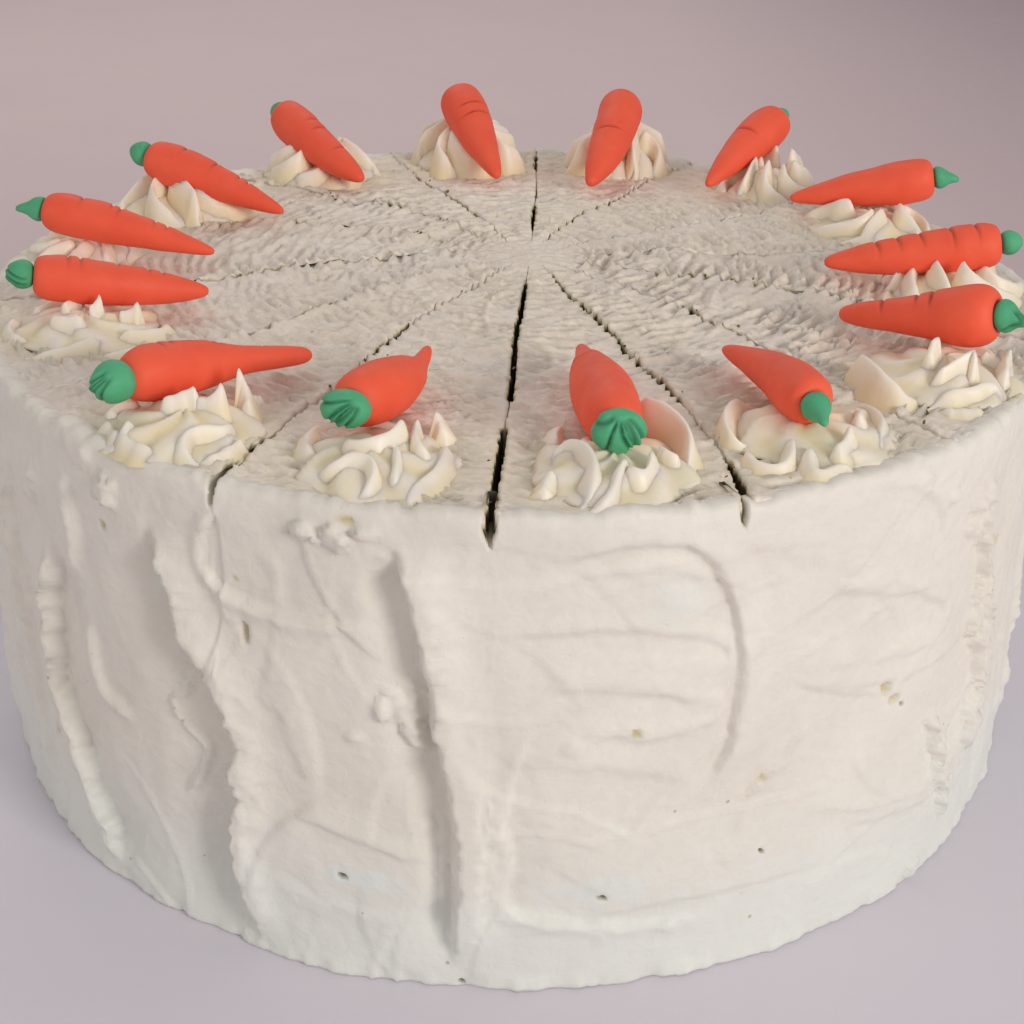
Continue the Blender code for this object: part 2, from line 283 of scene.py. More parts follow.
def buttercreamFinish(tones):
    look = buttercream
    material, tree, shader, place = newFinish(tones["name"])
    masks = tintMasks(tree)
    blotches = noiseNode(tree, place, look["blotches"], 4, 0.6)
    colour = mixColour(tree, rangeNode(tree, blotches, 0.35, 0.7), tones["cream"], tones["shade"])
    # where the cream has crusted it lifts in little curls, and the dips between them are painted darker as
    # shade
    curls = noiseNode(tree, place, look["curls"], 4, 0.55, 1.4)
    dipShade = rangeNode(tree, curls, 0.56, 0.36, 0.0, tones["dipShadeShare"])
    colour = mixColour(tree, dipShade, colour, tones["dipShade"])
    # bluish where the coat is thin, and at the foot painted bounce light from the table
    colour = mixColour(tree, masks["Blue"], colour, look["thin"])
    colour = mixColour(tree, masks["Green"], colour, look["olive"])
    # stray flecks, far apart and each its own size
    flecks = look["flecks"]
    cells = cellsNode(tree, place, flecks["apart"])
    rare = addNode(tree, "ShaderNodeSeparateColor", Color=cells["Color"])
    near = mathNode(tree, "LESS_THAN", cells["Distance"], flecks["size"])
    few = mathNode(tree, "GREATER_THAN", rare.outputs["Red"], flecks["without"])
    fleck = mathNode(tree, "MULTIPLY", mathNode(tree, "MULTIPLY", near, few), flecks["strength"])
    colour = mixColour(tree, fleck, colour, look["fleck"])
    # the red share: crumb in cuts and tears, and painted shade in the side's hollows and the top's tooth
    # grooves
    colour = mixColour(tree, masks["Red"], colour, look["crumb"])
    addSkin(tree, shader, place, colour, look["lumps"], look["roughness"])
    addDepth(shader, look)
    grain = noiseNode(tree, place, look["grain"], 3, 0.5)
    lumps = noiseNode(tree, place, look["lumps"], 2, 0.4, 0.8)
    # the knife drags the cream sideways, so most of the fine marks are long and flat
    drawn = addNode(tree, "ShaderNodeMapping", {}, Vector=place, Scale=(1, 1, 4))
    drags = noiseNode(tree, drawn.outputs["Vector"], look["drags"], 4, 0.5, 0.8)
    pits = rangeNode(tree, cellsNode(tree, place, look["pits"])["Distance"], 0.0, 0.09)
    addBumps(tree, shader, (lumps, 0.8, 0.4), (drags, 0.6, 0.3), (curls, *tones["curls"]),
             (grain, 0.14, 0.3), (pits, 0.3, 0.35))
    return material


pipedCream = {
    "ridge": (0.935, 0.835, 0.705),
    # hollow is painted shade: the cream darker and yellower at the feet of the folds and in the heap between
    # them
    "hollow": (0.87, 0.725, 0.43),
    "uneven": 7,                        # the sizes of its patterns
    "patches": 4,
    "grain": 0.9,
    "lumps": 3.2,
    "roughness": (0.36, 0.52),
    "subsurface": 0.35,
    "seeps": (1.0, 0.85, 0.5),
    "seepsTo": 3.0,
    "gloss": 0.5,
}


def pipedFinish():
    look = pipedCream
    material, tree, shader, place = newFinish("piped buttercream")
    uneven = rangeNode(tree, noiseNode(tree, place, look["uneven"], 3), 0.3, 0.7, -0.15, 0.15)
    # painted shade, darker and yellower, where the green share is high
    deep = mathNode(tree, "ADD", tintMasks(tree)["Green"], uneven)
    colour = mixColour(tree, rangeNode(tree, deep, 0.12, 1.0), look["ridge"], look["hollow"])
    addSkin(tree, shader, place, colour, look["patches"], look["roughness"])
    addDepth(shader, look)
    grain = noiseNode(tree, place, look["grain"], 3, 0.5)
    lumps = noiseNode(tree, place, look["lumps"], 2, 0.5, 0.4)
    addBumps(tree, shader, (lumps, 0.5, 0.35), (grain, 0.08, 0.3))
    return material


sugarPaste = {
    "orange": ((0.92, 0.125, 0.06), (0.87, 0.10, 0.047)),
    "green": ((0.10, 0.44, 0.225), (0.055, 0.32, 0.155)),
    "creaseShade": 0.45,                    # painted shade: how much of its colour is left in a knife mark, a carrot's end dimple, and a green top's grooves and foot
    "blotches": 8,                      # the sizes of its patterns
    "patches": 3,
    "grain": 0.6,
    "dents": 3.5,
    "roughness": (0.52, 0.66),
    "subsurface": 0.08,
    "seeps": (1.0, 0.35, 0.2),
    "seepsTo": 1.5,
    "gloss": 0.3,
}


def pasteFinish(name, colours):
    look = sugarPaste
    light, dark = colours
    material, tree, shader, place = newFinish(name)
    blotches = rangeNode(tree, noiseNode(tree, place, look["blotches"], 3), 0.35, 0.7, 0.0, 0.7)
    colour = mixColour(tree, blotches, light, dark)
    # painted shade where the red share is high
    creaseShade = tuple(look["creaseShade"] * part for part in dark)
    colour = mixColour(tree, tintMasks(tree)["Red"], colour, creaseShade)
    addSkin(tree, shader, place, colour, look["patches"], look["roughness"])
    addDepth(shader, look)
    grain = noiseNode(tree, place, look["grain"], 3, 0.6)
    dents = noiseNode(tree, place, look["dents"], 2, 0.5)
    addBumps(tree, shader, (dents, 0.35, 0.35), (grain, 0.06, 0.5))
    return material


sponge = {
    "crumb": (0.14, 0.075, 0.03),
    "darkCrumb": (0.045, 0.03, 0.012),
    "crumbs": 1.6,
    "shred": (0.45, 0.13, 0.03),        # grated carrot
    "shreds": {"apart": 5, "size": 0.16},
    "roughness": (0.75, 0.95),
}


def spongeFinish():
    material, tree, shader, place = newFinish("carrot sponge")
    crumbs = noiseNode(tree, place, sponge["crumbs"], 5, 0.7)
    colour = mixColour(tree, rangeNode(tree, crumbs, 0.35, 0.65), sponge["crumb"], sponge["darkCrumb"])
    shreds = cellsNode(tree, place, sponge["shreds"]["apart"])["Distance"]
    shred = mathNode(tree, "LESS_THAN", shreds, sponge["shreds"]["size"])
    colour = mixColour(tree, shred, colour, sponge["shred"])
    tree.links.new(colour, shader.inputs["Base Color"])
    tree.links.new(rangeNode(tree, crumbs, 0.3, 0.7, *sponge["roughness"]), shader.inputs["Roughness"])
    holes = rangeNode(tree, shreds, 0.05, 0.5)
    addBumps(tree, shader, (holes, 1.0, 0.8), (crumbs, 0.6, 0.8))
    return material


sideLook = buttercreamFinish(coatTones["side"])
topLook = buttercreamFinish(coatTones["top"])
pipedLook = pipedFinish()
orangeLook = pasteFinish("orange sugar paste", sugarPaste["orange"])
greenLook = pasteFinish("green sugar paste", sugarPaste["green"])
spongeLook = spongeFinish()
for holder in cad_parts["sponge"].material_slots:
    holder.material = spongeLook
print("finishes made")


# knife strokes on the side: the path as (angle, height), how far the crest stands out, the width of
# its soft slope, how wide the drop on its other side is, how deep the hollow beyond that drop is and
# how far the hollow reaches, and how ragged the line is. steep is the side of the drop: 1 for left of
# the path's direction, -1 for right.
sideStrokes = [
    {"path": [(-122.6, 98), (-120.9, 90), (-120.4, 84), (-120, 77), (-117.9, 72), (-115.5, 64), (-114.7, 53),
              (-114.7, 41), (-115.3, 27), (-114.9, 17), (-113.3, 7), (-112.6, 1)],
     "out": 2.9, "soft": 10, "drop": 1.6, "hollow": 3.4, "reach": 20, "steep": -1, "ragged": 0.5},
    {"path": [(-99.7, 105.6), (-98.2, 99), (-97.4, 88), (-96.3, 75), (-95.7, 62), (-94.4, 48), (-93.5, 33),
              (-94, 15), (-94.6, 4)],
     "out": 2.9, "soft": 12, "drop": 2.0, "hollow": 2.5, "reach": 11, "steep": -1, "ragged": 0.35},
    {"path": [(-137.6, 82), (-138.6, 72), (-140, 59), (-139.6, 44), (-136.9, 34), (-135.4, 25), (-132.7, 14),
              (-131, 3)],
     "out": 2.6, "soft": 6, "drop": 2, "hollow": 2, "reach": 14, "steep": 1, "ragged": 0.9},
    {"path": [(-134, 100), (-133.4, 88), (-134.4, 76)],
     "out": 1.5, "soft": 5, "drop": 2.6, "hollow": 0.5, "reach": 8, "steep": 1, "ragged": 0.3},
    {"path": [(-132.8, 66), (-132.5, 55), (-130.5, 49), (-126.9, 48)],
     "out": 1.2, "soft": 4.5, "drop": 2.4, "hollow": 0.3, "reach": 5, "steep": 1, "ragged": 0.3},
    {"path": [(-120.2, 65), (-119.8, 61), (-122.2, 56.7), (-119.9, 50), (-118.3, 46.4), (-119.8, 39),
              (-121.5, 32)],
     "out": 1.3, "soft": 1.6, "drop": 1.4, "hollow": 0, "reach": 2, "steep": 1, "ragged": 0.35},
    {"path": [(-114.6, 106.5), (-117, 99), (-117.4, 90), (-113.6, 84.6), (-107.6, 83.2), (-101.4, 86)],
     "out": 0.8, "soft": 4.5, "drop": 1.1, "hollow": 0.9, "reach": 15, "steep": 1, "ragged": 0.15},
    {"path": [(-110.4, 98), (-109.8, 91), (-110.4, 86)],
     "out": 0.38, "soft": 4.2, "drop": 2.3, "hollow": 0.16, "reach": 3.9, "steep": 1, "ragged": 0.3},
    {"path": [(-109.2, 39), (-103.9, 36), (-96.8, 31.6)],
     "out": 0.45, "soft": 7, "drop": 1.9, "hollow": 0.56, "reach": 13, "steep": -1, "ragged": 0.3},
    {"path": [(-111.5, 20.5), (-105, 16.5), (-98, 18)],
     "out": 0.22, "soft": 5.6, "drop": 2.6, "hollow": 0.24, "reach": 6.5, "steep": 1, "ragged": 0.2},
    {"path": [(-96.6, 44), (-96.2, 28), (-96.8, 12)],
     "out": -1.1, "soft": 3, "drop": 2.2, "hollow": 0, "reach": 2, "steep": 1, "ragged": 0.3},
    {"path": [(-101.2, 71), (-98.8, 69), (-97.6, 63), (-98, 57)],
     "out": 1.2, "soft": 2.6, "drop": 2, "hollow": 0, "reach": 2, "steep": 1, "ragged": 1.4},
    {"path": [(-110.6, 66), (-108.6, 57), (-107.4, 47)],
     "out": 0.38, "soft": 7, "drop": 2.6, "hollow": 0.16, "reach": 6.5, "steep": -1, "ragged": 0.9},
    {"path": [(-87, 100), (-83, 103.4), (-79.6, 104.4), (-75.5, 104.2), (-73, 99.4), (-70.6, 90), (-69.5, 78),
              (-69.2, 67), (-69.6, 57.5), (-70.9, 49.5), (-73.4, 44)],
     "out": 0.9, "soft": 9, "drop": 1.5, "hollow": 1.1, "reach": 9, "steep": -1, "ragged": 0.2},
    {"path": [(-81.6, 97), (-78, 99.4), (-74.6, 98), (-73, 92)],
     "out": 0.38, "soft": 4.2, "drop": 1.9, "hollow": 0.32, "reach": 6.5, "steep": -1, "ragged": 0.2},
    {"path": [(-91, 85), (-82.6, 87.4), (-74, 84), (-70.4, 79), (-70.5, 75.5), (-73, 75)],
     "out": 0.45, "soft": 5.6, "drop": 1.7, "hollow": 0.4, "reach": 7.8, "steep": -1, "ragged": 0.25},
    {"path": [(-87, 74.5), (-79, 72.7), (-72, 68)],
     "out": 0.38, "soft": 6.3, "drop": 1.7, "hollow": 0.32, "reach": 7.8, "steep": -1, "ragged": 0.3},
    {"path": [(-83, 64), (-75, 61.2), (-71.6, 63), (-71.6, 67.5), (-73.6, 68.5)],
     "out": 0.52, "soft": 3.6, "drop": 2.1, "hollow": 0.24, "reach": 5.2, "steep": -1, "ragged": 0.7},
    {"path": [(-90.6, 57.7), (-85.5, 56.5), (-78.4, 54), (-72.8, 49.5)],
     "out": 0.3, "soft": 7, "drop": 2.3, "hollow": 0.24, "reach": 7.8, "steep": -1, "ragged": 0.3},
    {"path": [(-87.4, 66), (-88.6, 61), (-90, 51), (-90.5, 43), (-89.4, 36), (-90.4, 26), (-90, 20),
              (-85, 17), (-77.5, 14.4), (-70, 15)],
     "out": 0.9, "soft": 5, "drop": 1.2, "hollow": 0.6, "reach": 9, "steep": 1, "ragged": 0.4},
    {"path": [(-58, 108), (-54.5, 107), (-50, 102.5), (-47, 93.5), (-47.4, 87)],
     "out": 0.52, "soft": 5.6, "drop": 1.7, "hollow": 0.48, "reach": 7.8, "steep": -1, "ragged": 0.3},
    {"path": [(-61, 86), (-53, 82.6), (-46.8, 76), (-44.8, 70), (-47.4, 68.6)],
     "out": 0.52, "soft": 5.6, "drop": 1.7, "hollow": 0.4, "reach": 9.1, "steep": -1, "ragged": 0.4},
    {"path": [(-61, 71), (-52, 65.5), (-46, 65)],
     "out": 0.3, "soft": 5.6, "drop": 1.9, "hollow": 0.24, "reach": 7.8, "steep": -1, "ragged": 0.3},
    {"path": [(-62.6, 57), (-64.4, 49), (-66.6, 44.5), (-69, 43)],
     "out": 0.9, "soft": 2.4, "drop": 0.9, "hollow": 0.2, "reach": 4, "steep": -1, "ragged": 0.6},
    {"path": [(-68, 41), (-68.4, 34), (-70.4, 27)],
     "out": 0.45, "soft": 5.6, "drop": 2.3, "hollow": 0.24, "reach": 6.5, "steep": -1, "ragged": 0.3},
    {"path": [(-71, 104), (-63, 95), (-56, 89)],
     "out": 0.3, "soft": 9.8, "drop": 2.6, "hollow": 0.16, "reach": 9.1, "steep": -1, "ragged": 0.3},
    {"path": [(-62, 36), (-55, 30), (-48, 29)],
     "out": 0.3, "soft": 7, "drop": 2.3, "hollow": 0.24, "reach": 10.4, "steep": -1, "ragged": 0.4},
    {"path": [(-45.4, 46), (-42.6, 30), (-40, 10)],
     "out": 1.9, "soft": 4, "drop": 1.6, "hollow": 0.7, "reach": 5, "steep": -1, "ragged": 1.8},
    {"path": [(-41, 100), (-38.6, 80), (-37, 60), (-36, 40)],
     "out": 1.8, "soft": 6, "drop": 1.8, "hollow": 0.5, "reach": 6, "steep": -1, "ragged": 1.4},
    {"path": [(-146, 98), (-147.4, 72), (-146.4, 42), (-143, 8)],
     "out": 1.3, "soft": 8, "drop": 2, "hollow": 0.5, "reach": 9, "steep": 1, "ragged": 0.6},
]
# small torn or heaped places: angle, height, reach sideways and up, how far out, how jagged
sideLumps = [
    (-107.2, 104, 3.2, 2.2, 1.6, 0.9), (-104.2, 103.4, 4.4, 3.0, 2.2, 1.2), (-101.6, 105, 2.6, 2.0, 1.6, 1.0),
    (-127.6, 101, 4.4, 4.0, 1.6, 1.0), (-131, 106, 5.4, 3.0, 1.2, 0.8), (-100.6, 67, 2.2, 2.8, 1.2, 1.0),
    (-98.2, 62, 2.0, 3.0, 1.4, 1.0), (-103.2, 60, 2.2, 1.8, 0.7, 0.7), (-137.4, 26, 3.4, 5.0, 1.2, 1.0),
    (-133.6, 15, 3.0, 4.0, 1.2, 1.1), (-84.4, 60, 2.8, 2.4, 0.5, 0.6), (-79.4, 63, 3.0, 2.4, 0.5, 0.6),
    (-47, 99, 2.6, 2.2, 1.0, 0.8), (-41.5, 90, 4.0, 8.0, 1.8, 1.2), (-38, 62, 4.0, 9.0, 2.0, 1.4),
    (-36, 34, 4.4, 9.0, 2.4, 1.6), (-45.5, 4, 3.4, 2.0, 2.4, 1.3), (-52, 106.6, 3.4, 2.0, 0.8, 0.8),
    (-141, 92, 4.0, 6.0, 1.1, 0.8), (-146, 60, 4.0, 9.0, 1.0, 0.8), (-147, 22, 4.4, 8.0, 0.9, 0.8),
]
# places where the knife scraped through: angle, height, reach sideways and up, how deep, colour
sideTears = [
    (-113.2, 78.6, 0.8, 2.6, 2.4, "olive"), (-106.0, 85.2, 0.5, 0.4, 0.4, "fleck"),
    (-52.8, 57.6, 1.2, 2.2, 2.4, "olive"), (-51.4, 54.2, 1.5, 1.0, 2.2, "olive"),
    (-50.2, 52.2, 0.6, 0.4, 1.6, "crumb"), (-104.7, 25.4, 0.9, 0.5, 1.2, "crumb"),
    (-81.2, 22.9, 0.9, 0.35, 1.0, "crumb"), (-66.0, 28.2, 0.5, 0.5, 1.0, "crumb"),
    (-67.6, 18.2, 0.5, 0.4, 1.0, "crumb"), (-79.0, 62.8, 1.1, 0.8, 1.2, "olive"),
    (-66.4, 46.4, 1.6, 0.7, 0.8, "olive"), (-102.6, 94.2, 0.4, 0.4, 0.4, "fleck"),
    (-93.8, 1.4, 0.8, 0.4, 1.0, "crumb"), (-84.6, 38.8, 0.3, 0.3, 0.4, "crumb"),
    (-103.4, 107.4, 1.8, 1.2, 1.2, "olive"), (-141.2, 30, 1.2, 1.6, 0.8, "olive"),
    (-113.8, 90, 0.4, 0.5, 0.4, "fleck"), (-35, 78, 0.8, 1.2, 1.0, "olive"),
    (-33, 50, 0.7, 0.5, 0.8, "crumb"), (-128.8, 92, 0.8, 0.9, 0.9, "olive"),
]
# thin bluish places: angle, height, reach sideways and up, how strong
thinPlaces = [(-103, 25.5, 13, 3.4, 0.8), (-81, 24.5, 14, 5.0, 0.7), (-76, 91, 7, 7, 0.4),
              (-64, 16, 20, 8, 0.45), (-100, 12, 15, 6, 0.35), (-52, 22, 16, 10, 0.3), (-122, 86, 5, 8, 0.3),
              (-150, 40, 14, 14, 0.3), (60, 40, 20, 12, 0.5), (120, 70, 16, 10, 0.4), (10, 30, 18, 8, 0.4)]
# the strokes round the back: between which angles, and the range of each number that a stroke has
hiddenSide = {
    "from": -30, "to": 208, "ridges": 16, "lumps": 50, "seed": 41,
    "high": (78, 106), "low": (3, 34), "sway": (-1.2, 1.2), "drift": 5, "slant": (-0.6, 1),
    "out": (1.0, 2.3), "soft": (6, 13), "drop": (1.3, 2.4), "hollow": (0.4, 1.6), "reach": (7, 16),
    "steepLeft": 0.6, "ragged": (0.3, 0.9),
}
# a small curl lies beside some of them
hiddenCurl = {
    "share": 0.7, "aside": 7, "middle": (30, 80), "out": (0.8, 1.5),
    "path": [(0, 9), (2.4, 5), (2.8, -1), (1, -6)],
    "rest": {"soft": 1.8, "drop": 1.5, "hollow": 0.1, "reach": 3, "steep": 1, "ragged": 0.5},
}
# the range of each number that a lump has there, in the order of sideLumps
hiddenLump = [(hiddenSide["from"], hiddenSide["to"]), (3, 106), (1.5, 4.5), (1.5, 7), (0.3, 1.3), (0.4, 1.1)]
sideMesh = {"columns": 620, "rowStep": 0.86, "frontFrom": -163, "frontTo": -19, "frontShare": 2.5}
# wipes lie level between levelFrom and levelTo, and stand upright elsewhere: lean and spread in radians
sideWipes = {"count": 230, "long": (12, 34), "wide": (4.5, 11), "step": 0.62, "lip": 0.6, "seed": 9,
             "levelFrom": -92, "levelTo": -35, "level": (0.05, 0.35), "upright": (math.pi / 2, 0.5)}
# one wipe: how much it bows, where its ends and edges fade, how much of what was there it wipes off
knifeWipe = {"bow": 0.02, "ends": 0.5, "edges": 0.86, "covers": 0.75, "flattens": 0.35,
             "lipAt": 0.93, "lipWide": 0.9}
sideCream = {
    "swell": (0.9, 42),                 # broad unevenness: how high, and how wide each rise is
    "roll": (0.5, 15),
    "fine": (0.08, 2.6),
    "streaks": (0.04, 1.7),
    "torn": 7,                          # how wide the torn places are
    "ridged": 5.5,                      # how far apart the small sharp ridges stand
    "softEdge": 1.6,                    # how quickly a crest falls away on its soft side
    "wander": (1.1, 2.2),               # how far fine and torn places push a ragged line aside
    "roughFrom": 0.6,                   # heaped cream is torn from this height up
    "roughFull": 2.4,
    "rough": (0.9, 0.55, 0.5),          # torn, fine and ridged roughness where it is heaped
    "hollowShade": 0.11,                 # painted shade: scraped hollows are painted a little darker
    "hollowFrom": (0.3, 3.2),
}
# where along a stroke it rises and where it fades, and how jagged its crest is
strokeEnds = {"rises": (0, 0.12), "fades": (0.86, 1.0), "jagged": 0.22, "margin": 4}
lumpEdge = {"fades": (0.45, 1.05), "uneven": 0.5, "jagged": 0.4}
thinFoot = {"strength": 0.6, "from": 8, "to": 46, "wander": 8}      # the coat gets thin towards the foot, where painted bluish bounce light from the table lies too
sideShape = {
    "overEdge": [(119, 105.0), (121.5, 107.4), (123.6, 109.0), (125.3, 109.9), (126.8, 110.3), (128.1, 110.3),
                 (128.9, 109.8), (129.3, 108.7), (129.5, 107.4)],
    "shoulder": 106.2,                  # the height where the straight side starts
    "lowest": 0.6,                      # and where it ends
    "spread": 1.6,                      # how much wider it gets on the way down
    "underneath": [(1.2, 0.05), (-2, 0.0), (-6, 0.0)],
    "outward": (121, 128.6),            # the radii over which the relief starts to push outwards
    "lipFrom": (100, 108),              # the heights over which the side passes into its lip
    "lipWave": (0.9, 16),               # the lip stands up in some places and is wiped low in others
    "lipFine": (0.8, 3.2),
    "lipRelief": (0.45, 0.35),          # how much less relief it has outwards, and how much upwards
    "lipLow": 0.3,
    "footFrom": (0.4, 5),               # the heights over which the foot passes into the side
    "footWave": (1.1, 7),               # it runs out further in some places
    "footLift": 0.8,                    # and stands a little off the table in others
}
# a slot in the side under a cut: how jagged, deep and sunk it is, how soft its edge, and how much of its
# width is left at its foot before it opens
cutSlot = {"jag": 0.45, "deep": 9, "down": 5, "edge": 0.3, "narrow": 0.25, "opens": 3.5, "foot": 0.4}
sideCuts = [{"angle": -91.7, "foot": 104.6, "half": 0.95}, {"angle": -115.6, "foot": 106.2, "half": 0.8},
            {"angle": -70.7, "foot": 105.6, "half": 0.6}]


def sideAngles(shares):
    # columns stand closer together where the side faces the front, and closer still at a cut
    angles = np.linspace(-200, 160, 3601)
    front = smoothStep(sideMesh["frontFrom"] - 8, sideMesh["frontFrom"], angles)
    front *= 1 - smoothStep(sideMesh["frontTo"], sideMesh["frontTo"] + 8, angles)
    density = 1 + (sideMesh["frontShare"] - 1) * front
    for cut in sideCuts:
        density += 6 * hump(angles - cut["angle"], 1.3)
    run = np.concatenate([[0], np.cumsum(density[:-1])])
    return np.interp(shares, run / run[-1], angles)


def hiddenStrokes():
    # the same sort of strokes go on round the back
    look = hiddenSide
    rng = random.Random(look["seed"])
    strokes = []
    for k in range(look["ridges"]):
        angle = look["from"] + (k + 0.5) * (look["to"] - look["from"]) / look["ridges"]
        high = rng.uniform(*look["high"])
        low = rng.uniform(*look["low"])
        path = []
        for share in (0, 0.2, 0.4, 0.6, 0.8, 1):
            across = angle + rng.uniform(*look["sway"]) + look["drift"] * share * rng.uniform(*look["slant"])
            path.append((across, high + (low - high) * share))
        stroke = {"path": path}
        for key in ("out", "soft", "drop", "hollow", "reach"):
            stroke[key] = rng.uniform(*look[key])
        stroke["steep"] = -1 if rng.random() < look["steepLeft"] else 1
        stroke["ragged"] = rng.uniform(*look["ragged"])
        strokes.append(stroke)
        if rng.random() < hiddenCurl["share"]:
            side = angle + hiddenCurl["aside"]
            middle = rng.uniform(*hiddenCurl["middle"])
            path = [(side + across, middle + up) for across, up in hiddenCurl["path"]]
            strokes.append({"path": path, "out": rng.uniform(*hiddenCurl["out"]), **hiddenCurl["rest"]})
    return strokes


def hiddenLumps():
    rng = random.Random(hiddenSide["seed"] + 1)
    return [[rng.uniform(*span) for span in hiddenLump] for _ in range(hiddenSide["lumps"])]


def wrapped(angles, middle):
    return (angles - middle + 180) % 360 - 180


def wipeOver(relief, u, v, place, wipe, rng):
    # one flat wipe of the knife, laid over what was there, with a lip along one edge
    long = rng.uniform(*wipe["long"])
    wide = rng.uniform(*wipe["wide"])
    middleU, middleV, lean = place
    du, dv = u - middleU, v - middleV
    inside = (np.abs(du) < long + wide) & (np.abs(dv) < long + wide)
    a = du[inside] * math.cos(lean) + dv[inside] * math.sin(lean)
    bow = rng.uniform(-knifeWipe["bow"], knifeWipe["bow"])
    b = dv[inside] * math.cos(lean) - du[inside] * math.sin(lean) + bow * a ** 2
    ends = 1 - smoothStep(knifeWipe["ends"], 1.0, np.abs(a) / long)
    cover = knifeWipe["covers"] * ends * (1 - smoothStep(knifeWipe["edges"], 1.0, np.abs(b) / wide))
    flat = wipe["step"] * (rng.uniform(-1, 1) + rng.uniform(-1, 1) * b / wide)
    lip = wipe["lip"] * rng.uniform(0, 1) * hump(b - knifeWipe["lipAt"] * wide, knifeWipe["lipWide"])
    relief[inside] += cover * (flat - knifeWipe["flattens"] * relief[inside]) + lip * ends


def layStrokes(relief, angles, heights, fine, torn, ridged):
    # off its crest a stroke slopes softly one way, and drops into a scraped hollow the other way
    for stroke in sideStrokes + hiddenStrokes():
        start = stroke["path"][0][0]
        path = rounded([((a - start) * sideArc, z) for a, z in stroke["path"]])
        u = wrapped(angles, start) * sideArc
        spread = max(stroke["soft"], stroke["drop"] + stroke["reach"]) + strokeEnds["margin"]
        near = (u > path[:, 0].min() - spread) & (u < path[:, 0].max() + spread)
        near &= (heights > path[:, 1].min() - spread) & (heights < path[:, 1].max() + spread)
        off, along = alongPath(u[near], heights[near], path)
        ragged = stroke["ragged"]
        byFine, byTorn = sideCream["wander"]
        past = (off + ragged * (byFine * fine[near] + byTorn * torn[near])) * stroke["steep"]
        slope = hump(past, stroke["soft"]) ** sideCream["softEdge"]
        drop = smoothStep(0, stroke["drop"], past)
        hollow = drop * hump(past - stroke["drop"], stroke["reach"])
        jagged = 1 + strokeEnds["jagged"] * ragged * ridged[near]
        crest = np.where(past > 0, 1 - drop, slope) * jagged
        ends = smoothStep(*strokeEnds["rises"], along) * (1 - smoothStep(*strokeEnds["fades"], along))
        relief[near] += (stroke["out"] * crest - stroke["hollow"] * hollow) * ends


def layLumps(relief, angles, heights, fine, ridged):
    for middle, level, wide, tall, out, jag in sideLumps + hiddenLumps():
        u = wrapped(angles, middle) * sideArc
        near = (np.abs(u) < 2 * wide) & (np.abs(heights - level) < 2 * tall)
        reach = np.hypot(u[near] / wide, (heights[near] - level) / tall)
        reach = reach + lumpEdge["uneven"] * jag * fine[near]
        jagged = 1 + lumpEdge["jagged"] * jag * ridged[near]
        relief[near] += out * (1 - smoothStep(*lumpEdge["fades"], reach)) * jagged


def sideRelief(angles, heights):
    turn = np.radians(angles)
    roundX, roundY = np.cos(turn) * sideRadius, np.sin(turn) * sideRadius
    look = sideCream
    relief = look["swell"][0] * cloud(roundX, roundY, heights * 0.6, look["swell"][1], 1, 3)
    relief += look["roll"][0] * cloud(roundX, roundY, heights * 0.45, look["roll"][1], 2, 5)
    rng = random.Random(sideWipes["seed"])
    for _ in range(sideWipes["count"]):
        middle = rng.uniform(-180, 180)
        u = wrapped(angles, middle) * sideArc
        upright = rng.gauss(*sideWipes["upright"])
        level = rng.gauss(*sideWipes["level"])
        lean = level if sideWipes["levelFrom"] < middle < sideWipes["levelTo"] else upright
        wipeOver(relief, u, heights, (0, rng.uniform(0, 108), lean), sideWipes, rng)
    fine = cloud(roundX, roundY, heights, look["fine"][1], 3, 8)
    torn = cloud(roundX, roundY, heights, look["torn"], 2, 10)
    streaks = cloud(roundX, roundY, heights * 0.22, look["streaks"][1], 2, 12)
    ridged = 1 - np.abs(cloud(roundX, roundY, heights, look["ridged"], 2, 17)) * 2.2
    layStrokes(relief, angles, heights, fine, torn, ridged)
    layLumps(relief, angles, heights, fine, ridged)
    relief += look["fine"][0] * fine + look["streaks"][0] * streaks + 0.25 * np.clip(ridged - 0.8, 0, 1)
    # the cream that the knife heaped up is torn and rough
    heaped = smoothStep(look["roughFrom"], look["roughFull"], relief)
    byTorn, byFine, byRidged = look["rough"]
    relief += heaped * (byTorn * torn + byFine * fine + byRidged * np.clip(ridged - 0.5, 0, 1))
    return relief


def sideTints(angles, heights):
    tints = np.zeros((len(angles), 3))
    turn = np.radians(angles)
    wander = cloud(np.cos(turn) * sideRadius, np.sin(turn) * sideRadius, heights, 3.0, 2, 21)
    for middle, level, wide, tall, strength in thinPlaces:
        reach = np.hypot(wrapped(angles, middle) * sideArc / wide, (heights - level) / tall) + 0.35 * wander
        tints[:, 2] = np.maximum(tints[:, 2], strength * (1 - smoothStep(0.4, 1.1, reach)))
    # towards the foot the coat is thin, and the table's bluish bounce light is painted there too
    level = heights + thinFoot["wander"] * wander
    low = thinFoot["strength"] * (1 - smoothStep(thinFoot["from"], thinFoot["to"], level))
    tints[:, 2] = np.maximum(tints[:, 2], low)
    dig = np.zeros(len(angles))
    for middle, level, wide, tall, deep, colour in sideTears:
        reach = np.hypot(wrapped(angles, middle) * sideArc / wide, (heights - level) / tall) + 0.3 * wander
        hole = 1 - smoothStep(0.5, 1.15, reach)
        dig = np.maximum(dig, deep * hole)
        if colour == "crumb":
            tints[:, 0] = np.maximum(tints[:, 0], hole)
        tints[:, 1] = np.maximum(tints[:, 1], hole if colour == "olive" else 0.8 * hole)
    return tints, dig


